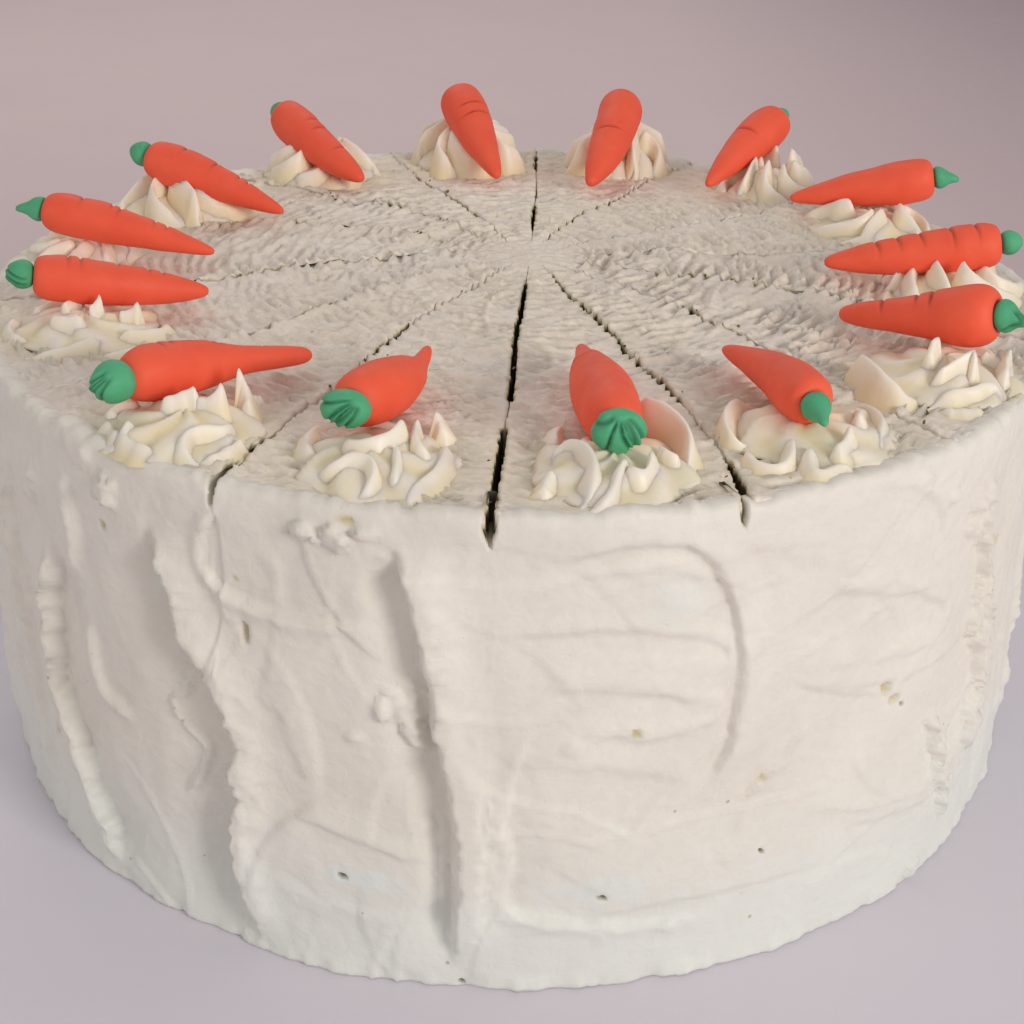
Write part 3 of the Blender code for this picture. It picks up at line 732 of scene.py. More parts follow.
def cutSlots(angles, heights):
    # how far inside a slot each point lies, from 0 to 1
    slots = []
    for cut in sideCuts:
        jag = cutSlot["jag"] * cloud(0 * angles, 0 * angles, heights, 1.3, 2, int(-cut["angle"]))
        u = wrapped(angles, cut["angle"]) * sideArc + 0.5 * jag
        opening = smoothStep(cut["foot"], cut["foot"] + cutSlot["opens"], heights)
        half = cut["half"] * (cutSlot["narrow"] + (1 - cutSlot["narrow"]) * opening) + 0.5 * jag
        slot = 1 - smoothStep(0.0, cutSlot["edge"], np.abs(u) - half)
        slots.append(slot * smoothStep(cut["foot"] - cutSlot["foot"], cut["foot"] + cutSlot["foot"], heights))
    return slots


def buildSide():
    # an open outline from under the top's edge, over the shoulder and down to the foot
    shape = sideShape
    outline = list(shape["overEdge"])
    straight = shape["shoulder"] - shape["lowest"]
    rows = round(straight / sideMesh["rowStep"])
    for row in range(rows + 1):
        share = row / rows
        outline.append((sideRadius + shape["spread"] * share ** 3, shape["shoulder"] - share * straight))
    outline += [(sideRadius + out, height) for out, height in shape["underneath"]]
    bm = spunOutline(outline, sideMesh["columns"], weld=0)
    points = readPoints(bm)
    reach = np.hypot(points[:, 0], points[:, 1])
    heights = points[:, 2].copy()
    shares = (np.degrees(np.arctan2(points[:, 1], points[:, 0])) % 360) / 360
    angles = sideAngles(shares)
    relief = sideRelief(angles, heights)
    tints, dig = sideTints(angles, heights)
    # painted shade in the scraped hollows, laid on through the crumb share
    hollowShading = sideCream["hollowShade"] * smoothStep(*sideCream["hollowFrom"], -relief)
    tints[:, 0] = np.maximum(tints[:, 0], hollowShading)
    turn = np.radians(angles)
    roundX, roundY = np.cos(turn) * sideRadius, np.sin(turn) * sideRadius
    lip = shape["lipWave"][0] * cloud(roundX, roundY, 0 * turn, shape["lipWave"][1], 3, 30)
    lip += shape["lipFine"][0] * cloud(roundX, roundY, heights, shape["lipFine"][1], 2, 33)
    onLip = smoothStep(*shape["lipFrom"], heights)
    outward = smoothStep(*shape["outward"], reach)
    foot = 1 - smoothStep(*shape["footFrom"], heights)
    edge = cloud(roundX, roundY, 0 * turn, shape["footWave"][1], 3, 36)
    spreadFoot = shape["footWave"][0] * foot * edge * outward
    lessOut, someUp = shape["lipRelief"]
    reach = reach + (relief - dig) * outward * (1 - lessOut * onLip) + spreadFoot
    heights = heights + onLip * (lip + someUp * relief - shape["lipLow"])
    heights = heights + foot * np.clip(edge, 0, 1) * shape["footLift"] * (points[:, 2] > 0.3)
    for slot in cutSlots(angles, points[:, 2]):
        reach -= cutSlot["deep"] * slot * outward
        heights -= cutSlot["down"] * slot * (1 - outward)
        tints[:, 0] = np.maximum(tints[:, 0], smoothStep(0.35, 0.8, slot))
        tints[:, 1] = np.maximum(tints[:, 1], smoothStep(0.05, 0.5, slot))
    reach = np.minimum(reach, footReach - 0.05)
    writePoints(bm, reach * np.cos(turn), reach * np.sin(turn), np.maximum(heights, 0))
    bmesh.ops.recalc_face_normals(bm, faces=bm.faces)
    return finishPiece(bm, "side_coat", sideLook, [], tints)


sideCoat = buildSide()
print("side spread:", len(sideCoat.data.polygons), "faces")


crossing = (4.0, 22.0)                      # where the cuts would meet
# each cut: its path across the top, then its open stretches as (from, to, width), measured from the
# crossing, then the side that its pale burr lies on (1 left, -1 right) and how tall that stands
topCuts = [
    {"path": [(40, 26), (84, 29), (126.7, 31)], "open": [], "burr": (1, 0.3)},
    {"path": [(20, 34), (60, 58), (99.6, 83.6)], "open": [], "burr": (-1, 0.35)},
    {"path": [(10, 40), (17, 56), (23, 64.5), (32, 78), (46, 108), (58, 116)], "open": [(16, 64, 0.45)],
     "burr": (1, 0.4)},
    {"path": [(4.4, 36), (4.6, 44), (5, 62), (6, 80), (5.7, 104), (6.2, 130)],
     "open": [(22, 41, 1.2), (52, 60, 0.5), (80, 98, 0.9)], "burr": (1, 0.5)},
    {"path": [(-3, 34), (-10, 57), (-20, 76), (-30, 94), (-38, 115), (-42, 124)],
     "open": [(12, 18, 0.5), (38, 62, 0.45), (70, 80, 0.4)], "burr": (-1, 0.6)},
    {"path": [(-11, 38), (-20, 50), (-25, 57), (-34, 64.5), (-46, 66), (-60, 78), (-92, 92)],
     "open": [(43, 46, 0.5), (55, 59, 1.0)], "burr": (-1, 0.7)},
    {"path": [(-14, 27), (-19, 34), (-40, 42), (-58, 43), (-62.5, 48), (-123, 42)],
     "open": [(24, 28, 1.5), (66, 71, 1.3)], "burr": (1, 0.7)},
    {"path": [(-12, 25), (-27, 22), (-34, 18), (-47, 11), (-60, 6.5), (-69, 0.5), (-76, -5), (-128, -22.6)],
     "open": [(36, 40, 0.6), (63, 86, 0.35)], "burr": (-1, 0.8)},
    {"path": [(-12, 11), (-24.5, 3), (-28.5, -4), (-37, -11.5), (-43, -18.5), (-52, -29), (-61, -41.5),
              (-102.4, -80)], "open": [(58, 78, 0.4)], "burr": (1, 1.0)},
    {"path": [(-6, 4), (-10, -6), (-16, -15), (-25, -32), (-31, -52), (-49, -99), (-56.4, -117.5)],
     "open": [(62, 82, 0.9), (128, 156, 1.6)], "burr": (-1, 0.6)},
    {"path": [(2.7, -2), (1.8, -18), (1, -30), (0.3, -40), (0, -60), (-0.5, -76), (-1.7, -91), (-3.9, -130)],
     "open": [(24, 98, 1.4), (112, 156, 1.6)], "burr": (1, 0.4)},
    {"path": [(9.8, 4), (12.5, -8), (17, -19), (21.5, -32), (24.5, -43), (30, -60), (34.7, -76), (42, -102),
              (43.2, -122.6)], "open": [(18, 103, 1.0), (130, 156, 1.2)], "burr": (1, 0.5)},
    {"path": [(27.5, -4), (36, -14), (42, -20), (45, -25), (53, -36), (88.6, -95)],
     "open": [(55, 60, 1.4), (63, 75, 0.4)], "burr": (1, 0.45)},
    {"path": [(22, 14), (45, 6), (62, 2), (68.5, -4), (80, -6), (125, -35.8)],
     "open": [(42, 46, 0.9), (68, 71, 1.4), (34, 62, 0.3)], "burr": (1, 0.45)},
]
topMesh = {"rings": 198, "evenColumns": 20, "rimStep": 127.2, "closed": 0.1, "jag": 0.55, "squeeze": 0.42}
# the rings past the rim turn down behind the side's lip: (outwards, down)
topSkirt = [(0.7, -0.25), (1.0, -0.9), (0.9, -2.0), (-0.6, -4.0), (-4.0, -7.0)]
inCut = [0.72, 0.95]                        # columns on the wall of a cut, in half widths
besideCut = [0.1, 0.8, 2.0, 4.2]            # columns beside it, measured from its edge
portionColumns = 2 * (len(inCut) + len(besideCut)) + topMesh["evenColumns"] + 2
# where a cut's wall starts and ends in half widths, and how wide the stained edge beside it is
cutWall = {"from": 0.8, "to": 0.97, "edge": 0.13, "edgeTint": 0.35}
# an open stretch goes down to crumbs, and a closed one is a crease of uneven depth
cutFloor = {"from": 10, "deep": 11.5, "crumbs": (0.85, 0.15), "opens": (0.05, 0.3), "crease": (0.7, 0.45),
            "creaseDark": 0.3, "wallDark": 0.9}
# narrow strokes across a portion. across and share: where one lies and how long it is, in shares of the
# portion's width there
topWipes = {"first": 12, "last": 121.0, "step": 3.6, "spacing": (0.5, 1.3), "across": (0.15, 0.85),
            "share": (0.3, 0.55), "shortest": 3.0, "longest": 13, "wide": (1.2, 2.1), "tall": 0.9,
            "uneven": (0.45, 1.15), "burr": 0.95, "burrTall": 1.4, "trough": 0.8, "tilt": 0.1,
            "lean": 0.12, "ragged": 0.2, "ends": 0.5, "seed": 23}
# the toothed marks that the knife leaves as it is wiped along a portion, with painted shade in their grooves
teeth = {"from": 14, "step": 3.4, "tall": 2.1, "lean": 0.35, "bow": 0.018, "sway": 3.0, "grooveShade": 0.2,
         "steepFrom": 0.78, "patches": (-0.3, 0.2), "fades": (0.72, 1.0)}
topCream = {
    "base": -0.6,                       # where it lies before its relief, from the top's height
    "swell": (0.6, 34),                 # broad unevenness: how high, and how wide each rise is
    "fine": (0.3, 2.4),
    "ridged": (1.1, 6.5),
    "highest": 1.2,                     # above this the cream has sunk back
    "sunk": 0.35,
    "middle": {"at": (5, 18), "wide": 20, "heap": 0.5, "smooth": 0.55},     # wiped smooth, a little heaped
    "rind": (1.6, 1.5),                 # how deep a wall is cream under its edge, and how uneven
}
# a pale burr beside each cut: its reach on its own side and on the other, how much of it the other gets,
# and how much is left beside an open stretch
cutBurr = {"from": 16, "wide": 3.4, "otherWide": 1.3, "other": 0.35, "open": 0.55, "rough": 0.9,
           "crest": 0.35}
rosetteTinge = {"reach": 1.45, "strength": 0.22}
smears = {"count": 200, "long": (9, 26), "wide": (3, 7), "step": 0.8, "lip": 1.0, "within": 128,
          "lean": 0.45, "seed": 5}


def cutTurns():
    # every cut as (distance from the crossing, turn about it), with the turns rising from cut to cut
    turned = []
    for cut in topCuts:
        path = evenly(rounded(cut["path"]), 40) - np.array(crossing)
        distance = np.hypot(path[:, 0], path[:, 1])
        turn = np.unwrap(np.arctan2(path[:, 1], path[:, 0]))
        order = np.argsort(distance)
        turned.append((distance[order], turn[order]))
    lined = []
    for k, (distance, turn) in enumerate(turned):
        if k:
            before = lined[-1][1][-1]
            turn = turn + math.tau * round((before - turn[-1]) / math.tau)
            if turn[-1] < before:
                turn = turn + math.tau
        lined.append((distance, turn))
    return lined


def rimDistance(turn, radius):
    # how far it is from the crossing to the circle of that radius about the cake's axis
    along = crossing[0] * np.cos(turn) + crossing[1] * np.sin(turn)
    return -along + np.sqrt(along ** 2 + radius ** 2 - crossing[0] ** 2 - crossing[1] ** 2)


def openWidth(cut, distance):
    half = np.zeros(distance.shape)
    for start, end, width in cut["open"]:
        inside = smoothStep(start - 1.2, start + 0.4, distance)
        inside *= 1 - smoothStep(end - 0.4, end + 1.2, distance)
        half = np.maximum(half, width / 2 * inside)
    return half


def sectorStrength(turnDegrees):
    # the knife's ridges stand tallest on the right, and low on the left
    turns = [0, 40, 75, 120, 160, 200, 240, 262, 290, 320, 345, 360]
    heights = [0.9, 0.75, 0.6, 0.6, 0.62, 0.6, 0.55, 0.55, 0.7, 0.95, 1.0, 0.9]
    return np.interp(turnDegrees % 360, turns, heights)


def layTopStrokes(relief, x, y, fine, low, high, strength, rng):
    # one behind the other from the crossing out to the rim: a shallow trough each, with a sharp burr on
    # its outer edge
    look = topWipes
    tilt = rng.gauss(0, look["tilt"])
    edge = float(rimDistance(np.array((low + high) / 2), look["last"]))
    reach = look["first"]
    while reach < edge:
        turn = low + (high - low) * rng.uniform(*look["across"])
        arc = reach * (high - low)
        long = max(look["shortest"], min(look["longest"], arc * rng.uniform(*look["share"])))
        wide = rng.uniform(*look["wide"])
        tall = look["tall"] * strength * rng.uniform(*look["uneven"])
        middle = (crossing[0] + reach * math.cos(turn), crossing[1] + reach * math.sin(turn))
        lean = turn + math.pi / 2 + tilt + rng.gauss(0, look["lean"])
        dx, dy = x - middle[0], y - middle[1]
        inside = (np.abs(dx) < long + 3) & (np.abs(dy) < long + 3)
        a = dx[inside] * math.cos(lean) + dy[inside] * math.sin(lean)
        b = dy[inside] * math.cos(lean) - dx[inside] * math.sin(lean)
        b = b + 0.5 * a ** 2 / max(reach, 25) + look["ragged"] * fine[inside]
        ends = 1 - smoothStep(look["ends"], 1.0, np.abs(a) / long)
        shape = look["burrTall"] * hump(b + wide, look["burr"]) - look["trough"] * hump(b, wide)
        relief[inside] += tall * ends * shape
        reach += look["step"] * rng.uniform(*look["spacing"])


def layTeeth(relief, grooves, x, y, swaying, patchy, low, high, strength, rng):
    # the toothed marks come in patches, and fade towards the cuts
    offX, offY = x - crossing[0], y - crossing[1]
    along = np.hypot(offX, offY)
    away = (np.arctan2(offY, offX) - (low + high) / 2 + math.pi) % math.tau - math.pi
    here = (np.abs(away) < (high - low) / 2) & (along > teeth["from"])
    across = along[here] * away[here]
    lean = rng.uniform(-teeth["lean"], teeth["lean"])
    bowed = along[here] + lean * across + teeth["bow"] * across ** 2
    spot = (bowed + teeth["sway"] * swaying[here]) / teeth["step"]
    tooth = spot - np.floor(spot)
    steep = teeth["steepFrom"]
    tooth = np.where(tooth < steep, (tooth / steep) ** 1.6, (1 - tooth) / (1 - steep))
    towardsCut = 2 * np.abs(away[here]) / (high - low)
    patch = smoothStep(*teeth["patches"], patchy[here]) * (1 - smoothStep(*teeth["fades"], towardsCut))
    relief[here] += teeth["tall"] * strength * patch * (tooth - 0.4)
    # the low part of each tooth is marked for painted shade
    grooves[here] = patch * strength * np.clip(1 - 2.2 * tooth, 0, 1)


def topRelief(x, y):
    look = topCream
    relief = look["swell"][0] * cloud(x, y, 0 * x, look["swell"][1], 2, 50)
    rng = random.Random(smears["seed"])
    for _ in range(smears["count"]):
        distance = smears["within"] * math.sqrt(rng.random())
        turn = rng.uniform(0, math.tau)
        lean = turn + math.pi / 2 + rng.gauss(0, smears["lean"])
        wipeOver(relief, x, y, (distance * math.cos(turn), distance * math.sin(turn), lean), smears, rng)
    fine = cloud(x, y, 0 * x, look["fine"][1], 3, 52)
    grooves = np.zeros(x.shape)
    swaying = cloud(x, y, 0 * x, 17, 2, 61)
    patchy = cloud(x, y, 0 * x, 15, 2, 63)
    rng = random.Random(topWipes["seed"])
    turns = [line[1][-1] for line in cutTurns()]
    for low, high in zip(turns, turns[1:] + [turns[0] + math.tau]):
        strength = float(sectorStrength(math.degrees((low + high) / 2)))
        layTopStrokes(relief, x, y, fine, low, high, strength, rng)
        layTeeth(relief, grooves, x, y, swaying, patchy, low, high, strength, rng)
    ridged = 1 - np.abs(cloud(x, y, 0 * x, look["ridged"][1], 2, 57)) * 2.4
    relief += look["fine"][0] * fine + look["ridged"][0] * np.clip(ridged - 0.55, 0, 1) - 0.2
    highest = look["highest"]
    relief = np.where(relief > highest, highest + look["sunk"] * (relief - highest), relief)
    middle = look["middle"]
    centre = hump(np.hypot(x - middle["at"][0], (y - middle["at"][1]) * 0.8), middle["wide"])
    relief += centre * (middle["heap"] - middle["smooth"] * relief)
    return relief, fine, grooves * (1 - centre)


def halfOpen(cut, away, jag):
    # half the width of a cut, jagged where it is open and a hair where it is closed
    half = openWidth(cut, away)
    closed = topMesh["closed"]
    return np.where(half > 0.05, np.maximum(half + topMesh["jag"] * jag, closed), closed)


def cutJag(away, *row):
    return np.array([noise.fractal(Vector((a / 1.3, *row)), 0.6, 2, 3) for a in away])


def stepsFrom(half, squeeze):
    # where the columns beside a cut stand, from its middle line outwards
    return np.stack([half * step for step in inCut] + [half + step for step in besideCut]) * squeeze


def acrossPortion(place, arc, lowSteps, highSteps):
    # how far each point is from its portion's first cut: close columns by both cuts, even ones between
    steps = len(lowSteps)
    even = topMesh["evenColumns"]
    here = np.zeros(place.shape)
    for j in range(1, portionColumns):
        these = place == j
        if j <= steps:
            here[these] = lowSteps[j - 1][these]
        elif j <= steps + even + 1:
            start = lowSteps[-1][these]
            end = arc[these] - highSteps[-1][these]
            here[these] = start + (j - steps) / (even + 2) * (end - start)
        else:
            here[these] = arc[these] - highSteps[portionColumns - j - 1][these]
    return here


def topPlaces(share, which, place):
    # for each point its turn and distance about the crossing, the nearer cut, how far off that cut's
    # line it is, and half the cut's width there
    lines = cutTurns()
    count = len(topCuts)
    turn, distance, offLine, halfs = np.zeros((4, len(share)))
    nearCut = np.zeros(len(share), int)
    for k in range(count):
        mine = which == k
        after = (k + 1) % count
        lift = math.tau if after == 0 else 0
        middleTurn = (lines[k][1][-1] + lines[after][1][-1] + lift) / 2
        facing = np.full(share[mine].shape, middleTurn)
        for _ in range(2):
            away = share[mine] * rimDistance(facing, topMesh["rimStep"])
            low = np.interp(away, lines[k][0], lines[k][1])
            high = np.interp(away, lines[after][0], lines[after][1] + lift)
            facing = (low + high) / 2
        lowHalf = halfOpen(topCuts[k], away, cutJag(away, 7.3 * k, 0))
        highHalf = halfOpen(topCuts[after], away, cutJag(away, 7.3 * after, 9))
        arc = np.maximum((high - low) * away, 0.001)
        squeeze = np.minimum(1, topMesh["squeeze"] * arc / (besideCut[-1] + 1.0))
        here = acrossPortion(place[mine], arc, stepsFrom(lowHalf, squeeze), stepsFrom(highHalf, squeeze))
        nearLow = here < arc / 2
        turn[mine] = low + here / np.maximum(away, 0.001)
        distance[mine] = away
        offLine[mine] = np.where(nearLow, here, arc - here)
        nearCut[mine] = np.where(nearLow, k, after)
        halfs[mine] = np.where(nearLow, lowHalf * squeeze, highHalf * squeeze)
    # every ring reaches the same circle at the rim, whichever way it faces
    circle = rimDistance(turn, topMesh["rimStep"])
    distance = distance + (share * circle - distance) * smoothStep(0.75, 1.0, share)
    return turn, distance, nearCut, offLine, halfs


def raiseBurrs(z, which, nearCut, distance, past, fine):
    for k, cut in enumerate(topCuts):
        side, tall = cut["burr"]
        lies = (nearCut == k) & (distance > cutBurr["from"])
        onSide = (np.where(which == k, -1, 1) * side < 0)[lies]
        ajar = openWidth(cut, distance[lies]) > 0.1
        rough = 1 + cutBurr["rough"] * fine[lies]
        wide = np.where(onSide, cutBurr["wide"], cutBurr["otherWide"])
        share = np.where(onSide, 1.0, cutBurr["other"])
        shape = hump(past[lies] - cutBurr["crest"] * wide, wide) * share
        z[lies] += tall * rough * shape * np.where(ajar, cutBurr["open"], 1.0)


def cutDepths(inSlot, nearCut, distance):
    # how deep and how dark each point in a cut is
    look = cutFloor
    deep, dark = np.zeros((2, len(distance)))
    for k, cut in enumerate(topCuts):
        lies = inSlot & (nearCut == k) & (distance > look["from"])
        run = distance[lies]
        wide = openWidth(cut, run)
        isOpen = wide > look["opens"][0]
        uneven = 0.5 + 0.5 * np.sin(2.1 * run) * np.cos(0.83 * run + k)
        crumbs = look["crumbs"][0] + look["crumbs"][1] * uneven
        crease = look["crease"][0] + look["crease"][1] * np.sin(0.31 * run + 2 * k)
        deep[lies] = np.where(isOpen, look["deep"] * smoothStep(*look["opens"], wide) * crumbs, crease)
        dark[lies] = np.where(isOpen, 1.0, look["creaseDark"])
    return deep, dark


def tingeRosetteFeet(tints, x, y, fine):
    # the cream is tinged yellow around the foot of each rosette
    for topping in toppings:
        middle = polar(*topping["rosette"][:3])
        away = np.hypot(x - middle.x, y - middle.y) / (topping["rosette"][2] * rosetteTinge["reach"])
        tinge = rosetteTinge["strength"] * (1 - smoothStep(0.6, 1.15, away + 0.2 * fine))
        tints[:, 1] = np.maximum(tints[:, 1], tinge)


def buildTop():
    columns = len(topCuts) * portionColumns
    rings = topMesh["rings"] + len(topSkirt)
    bm = spunOutline([(k, 0) for k in range(rings + 1)], columns, weld=0.01)
    points = readPoints(bm)
    ring = np.rint(np.hypot(points[:, 0], points[:, 1])).astype(int)
    turned = (np.arctan2(points[:, 1], points[:, 0]) % math.tau) / math.tau
    column = np.rint(turned * columns).astype(int) % columns
    which, place = column // portionColumns, column % portionColumns
    share = np.minimum(ring, topMesh["rings"]) / topMesh["rings"]
    turn, distance, nearCut, offLine, halfs = topPlaces(share, which, place)
    x = crossing[0] + distance * np.cos(turn)
    y = crossing[1] + distance * np.sin(turn)
    relief, fine, grooves = topRelief(x, y)
    z = topHeight + topCream["base"] + relief
    raiseBurrs(z, which, nearCut, distance, offLine - halfs, fine)
    inSlot = offLine <= halfs * cutWall["to"] + 0.001
    onWall = inSlot & (offLine > halfs * cutWall["from"])
    onEdge = (offLine > halfs * cutWall["to"]) & (offLine < halfs + cutWall["edge"])
    deep, dark = cutDepths(inSlot, nearCut, distance)
    # under its edge a wall is cream for a little way, more in some places than in others
    rind = topCream["rind"][0] + topCream["rind"][1] * np.clip(fine, -0.6, 1)
    z -= np.where(onWall, np.minimum(deep, rind), deep)
    dark = np.where(onWall & (dark > 0.5), cutFloor["wallDark"], dark)
    tints = np.zeros((len(ring), 3))
    # the red share: crumb in the cuts, and painted shade in the knife's tooth grooves
    tints[:, 0] = np.where(inSlot, dark, teeth["grooveShade"] * grooves)
    stained = np.where(onEdge & (halfs > 0.15), cutWall["edgeTint"], 0)
    tints[:, 1] = np.where(inSlot & (dark > 0.5), 1, stained)
    tingeRosetteFeet(tints, x, y, fine)
    for k, (out, drop) in enumerate(topSkirt, start=1):
        these = ring == topMesh["rings"] + k
        x[these] += out * np.cos(np.arctan2(y[these], x[these]))
        y[these] += out * np.sin(np.arctan2(y[these], x[these]))
        z[these] += drop
    writePoints(bm, x, y, z)
    bmesh.ops.recalc_face_normals(bm, faces=bm.faces)
    highest = max(bm.faces, key=lambda face: face.calc_center_median().z)
    if highest.normal.z < 0:
        bmesh.ops.reverse_faces(bm, faces=bm.faces)
    return finishPiece(bm, "top_coat", topLook, ["buttercream_coat"], tints)


# one entry for each, going round from the front to the right. tip and end: angle, distance from
# the axis and height over the top. scores: where along the carrot the knife marks are, how far
# round from its upper side, and how long they run round it, in degrees.
toppings = [
    {"rosette": (-80, 111, 16.5, 10.5), "tip": (-75.5, 58, 4), "end": (-79.5, 108.5, 7.8),
     "thick": 13.0, "bend": 0, "shape": "nib", "leaf": ("button", 6, 9.6, 0), "grooves": 6, "swirl": 1,
     "flat": (0.92, 1.1), "scores": [(0.36, 40, 40)]},
    {"rosette": (-56.5, 109, 17.5, 10.5), "tip": (-50.5, 72, 4), "end": (-58.5, 112, 8.5),
     "thick": 11.0, "bend": -2, "shape": "plump", "leaf": ("drop", 9, 6.1, -12), "grooves": 0,
     "swirl": -1, "scores": []},
    {"rosette": (-32.5, 110.5, 17.5, 11), "tip": (-24, 82, 4.5), "end": (-26.8, 118, 12),
     "thick": 13.6, "bend": 1, "shape": "shoulder", "leaf": ("drop", 7, 7.6, -12), "grooves": 2,
     "swirl": 1, "scores": [(0.3, 10, 50), (0.52, 0, 40), (0.62, 15, 35)]},
    {"rosette": (1, 109, 18, 11), "tip": (4, 78, 4), "end": (0.5, 120, 11), "thick": 11.6, "bend": 1,
     "shape": "even", "leaf": ("bud", 6, 6.4, 0), "grooves": 2, "swirl": -1,
     "scores": [(0.3, 0, 60), (0.42, 0, 50), (0.55, 0, 50), (0.72, 0, 60), (0.86, 0, 50)]},
    {"rosette": (28, 112, 18.5, 9), "tip": (37.5, 97, 5), "end": (25, 127, 13), "thick": 12.2,
     "bend": 0, "shape": "plump", "leaf": ("drop", 7, 6.4, 0), "grooves": 0, "swirl": 1, "scores": []},
    {"rosette": (48.5, 114, 15, 14), "tip": (53.5, 93, 4), "end": (52.5, 129, 17), "thick": 12.6,
     "bend": -1, "shape": "plump", "leaf": ("bud", 5, 5.4, 0), "grooves": 0, "swirl": -1,
     "scores": [(0.6, 0, 40)]},
    {"rosette": (74, 114, 16.5, 16), "tip": (74, 77, 4), "end": (74, 117, 19), "thick": 13.4,
     "bend": 1, "shape": "even", "leaf": ("bud", 5, 5.6, 0), "grooves": 0, "swirl": 1,
     "scores": [(0.5, 0, 40)]},
    {"rosette": (97.5, 114, 17.5, 16), "tip": (94, 80, 4), "end": (99, 118, 19), "thick": 13.6,
     "bend": 0, "shape": "plump", "leaf": ("bud", 5, 5.6, 0), "grooves": 0, "swirl": -1,
     "scores": [(0.6, 0, 50), (0.7, 0, 40)]},
    {"rosette": (121.5, 113, 18, 13), "tip": (121, 87, 4), "end": (124, 128, 15), "thick": 12.4,
     "bend": -1, "shape": "even", "leaf": ("bud", 5, 6.4, 0), "grooves": 0, "swirl": 1,
     "scores": [(0.3, 30, 50), (0.55, 30, 50), (0.66, 30, 40)]},
    {"rosette": (147, 110, 19, 14), "tip": (147, 75.5, 4), "end": (150.5, 117, 14), "thick": 11.8,
     "bend": 1, "shape": "plump", "leaf": ("bud", 7, 7.0, 0), "grooves": 0, "swirl": -1,
     "scores": [(0.3, 30, 45), (0.37, 30, 40), (0.55, 30, 55), (0.78, 30, 50)]},
    {"rosette": (171.5, 114, 15.5, 7.5), "tip": (176, 76, 4), "end": (174, 120, 12), "thick": 10.8,
     "bend": 1, "shape": "plump", "leaf": ("drop", 8, 6.6, 0), "grooves": 1, "swirl": 1,
     "scores": [(0.30, 30, 50), (0.37, 30, 55), (0.58, 30, 60), (0.63, 30, 45), (0.80, 30, 55)]},
    {"rosette": (-158.5, 105, 17.5, 8.5), "tip": (-161.5, 76, 4), "end": (-163, 115, 10.5),
     "thick": 10.8, "bend": -1, "shape": "even", "leaf": ("bud", 7, 7.0, 0), "grooves": 4, "aim": 60,
     "swirl": -1,
     "scores": [(0.28, 30, 45), (0.36, 30, 50), (0.54, 30, 40), (0.75, 30, 60), (0.82, 30, 60)]},
    {"rosette": (-125, 113.5, 17, 10), "tip": (-124.5, 76.5, 4), "end": (-131, 118, 8.6),
     "thick": 11.8, "bend": 2, "shape": "waist", "leaf": ("fan", 10, 8.8, 25), "grooves": 4,
     "aim": -30, "swirl": 1,
     "scores": [(0.25, 30, 30), (0.48, 30, 40), (0.52, 30, 35), (0.74, 30, 35), (0.80, 30, 45)]},
    {"rosette": (-103.3, 111, 16.5, 10), "tip": (-105, 70, 4.5), "end": (-107.5, 104.5, 8.5),
     "thick": 12.4, "bend": -1, "shape": "nib", "leaf": ("button", 7, 8.8, 12), "grooves": 5,
     "aim": -45, "flat": (0.86, 1.14), "swirl": -1, "lift": 3.0, "scores": []},
]
# half outlines: (place along, radius) as shares of the length and of the thickest radius
carrotShapes = {
    "plump": [(0, 0), (0.0, 0.12), (0.05, 0.27), (0.2, 0.48), (0.42, 0.74), (0.66, 0.95), (0.84, 1.0),
              (0.96, 0.92), (1.0, 0.62), (0.995, 0.3), (0.985, 0)],
    "even": [(0, 0), (0.0, 0.16), (0.05, 0.34), (0.2, 0.62), (0.42, 0.84), (0.66, 0.95), (0.86, 1.0),
             (0.97, 0.9), (1.0, 0.6), (0.995, 0.3), (0.985, 0)],
    "nib": [(0, 0), (0.0, 0.14), (0.05, 0.24), (0.16, 0.34), (0.3, 0.66), (0.5, 0.92), (0.72, 1.0),
            (0.9, 0.94), (1.0, 0.62), (0.99, 0.3), (0.975, 0)],
    "shoulder": [(0, 0), (0.0, 0.16), (0.05, 0.32), (0.2, 0.46), (0.42, 0.6), (0.62, 0.8), (0.8, 1.04),
                 (0.94, 1.0), (1.0, 0.62), (0.97, 0.3), (0.95, 0)],
    "waist": [(0, 0), (0.0, 0.16), (0.04, 0.32), (0.18, 0.42), (0.36, 0.5), (0.5, 0.78), (0.7, 1.0),
              (0.9, 1.0), (1.0, 0.62), (0.99, 0.3), (0.98, 0)],
}
leafShapes = {
    "button": [(0, 0), (0.02, 0.6), (0.2, 0.95), (0.5, 1.02), (0.8, 0.86), (0.98, 0.45), (1.0, 0)],
    "fan": [(0, 0), (0.02, 0.7), (0.14, 1.0), (0.38, 1.0), (0.66, 0.7), (0.9, 0.3), (1.0, 0)],
    "drop": [(0, 0), (0.02, 0.66), (0.16, 1.0), (0.4, 0.92), (0.62, 0.52), (0.86, 0.36), (1.0, 0.22),
             (1.03, 0)],
    "bud": [(0, 0), (0.02, 0.6), (0.2, 0.92), (0.48, 1.0), (0.78, 0.7), (0.97, 0.3), (1.0, 0)],
}
carrotMesh = {"rows": 96, "steps": 40, "scoreDeep": 0.75, "scoreWide": 0.62, "lumps": 0.3, "dimple": 1.4}
leafMesh = {"rows": 36, "steps": 64, "grooveDeep": 1.1, "grooveWide": 0.75, "spread": 0.38,
            "pinch": 0.13, "droop": 1.4}


def polar(angle, distance, height):
    turn = math.radians(angle)
    return Vector((distance * math.cos(turn), distance * math.sin(turn), height))


topCoat = buildTop()
print("top spread:", len(topCoat.data.polygons), "faces")


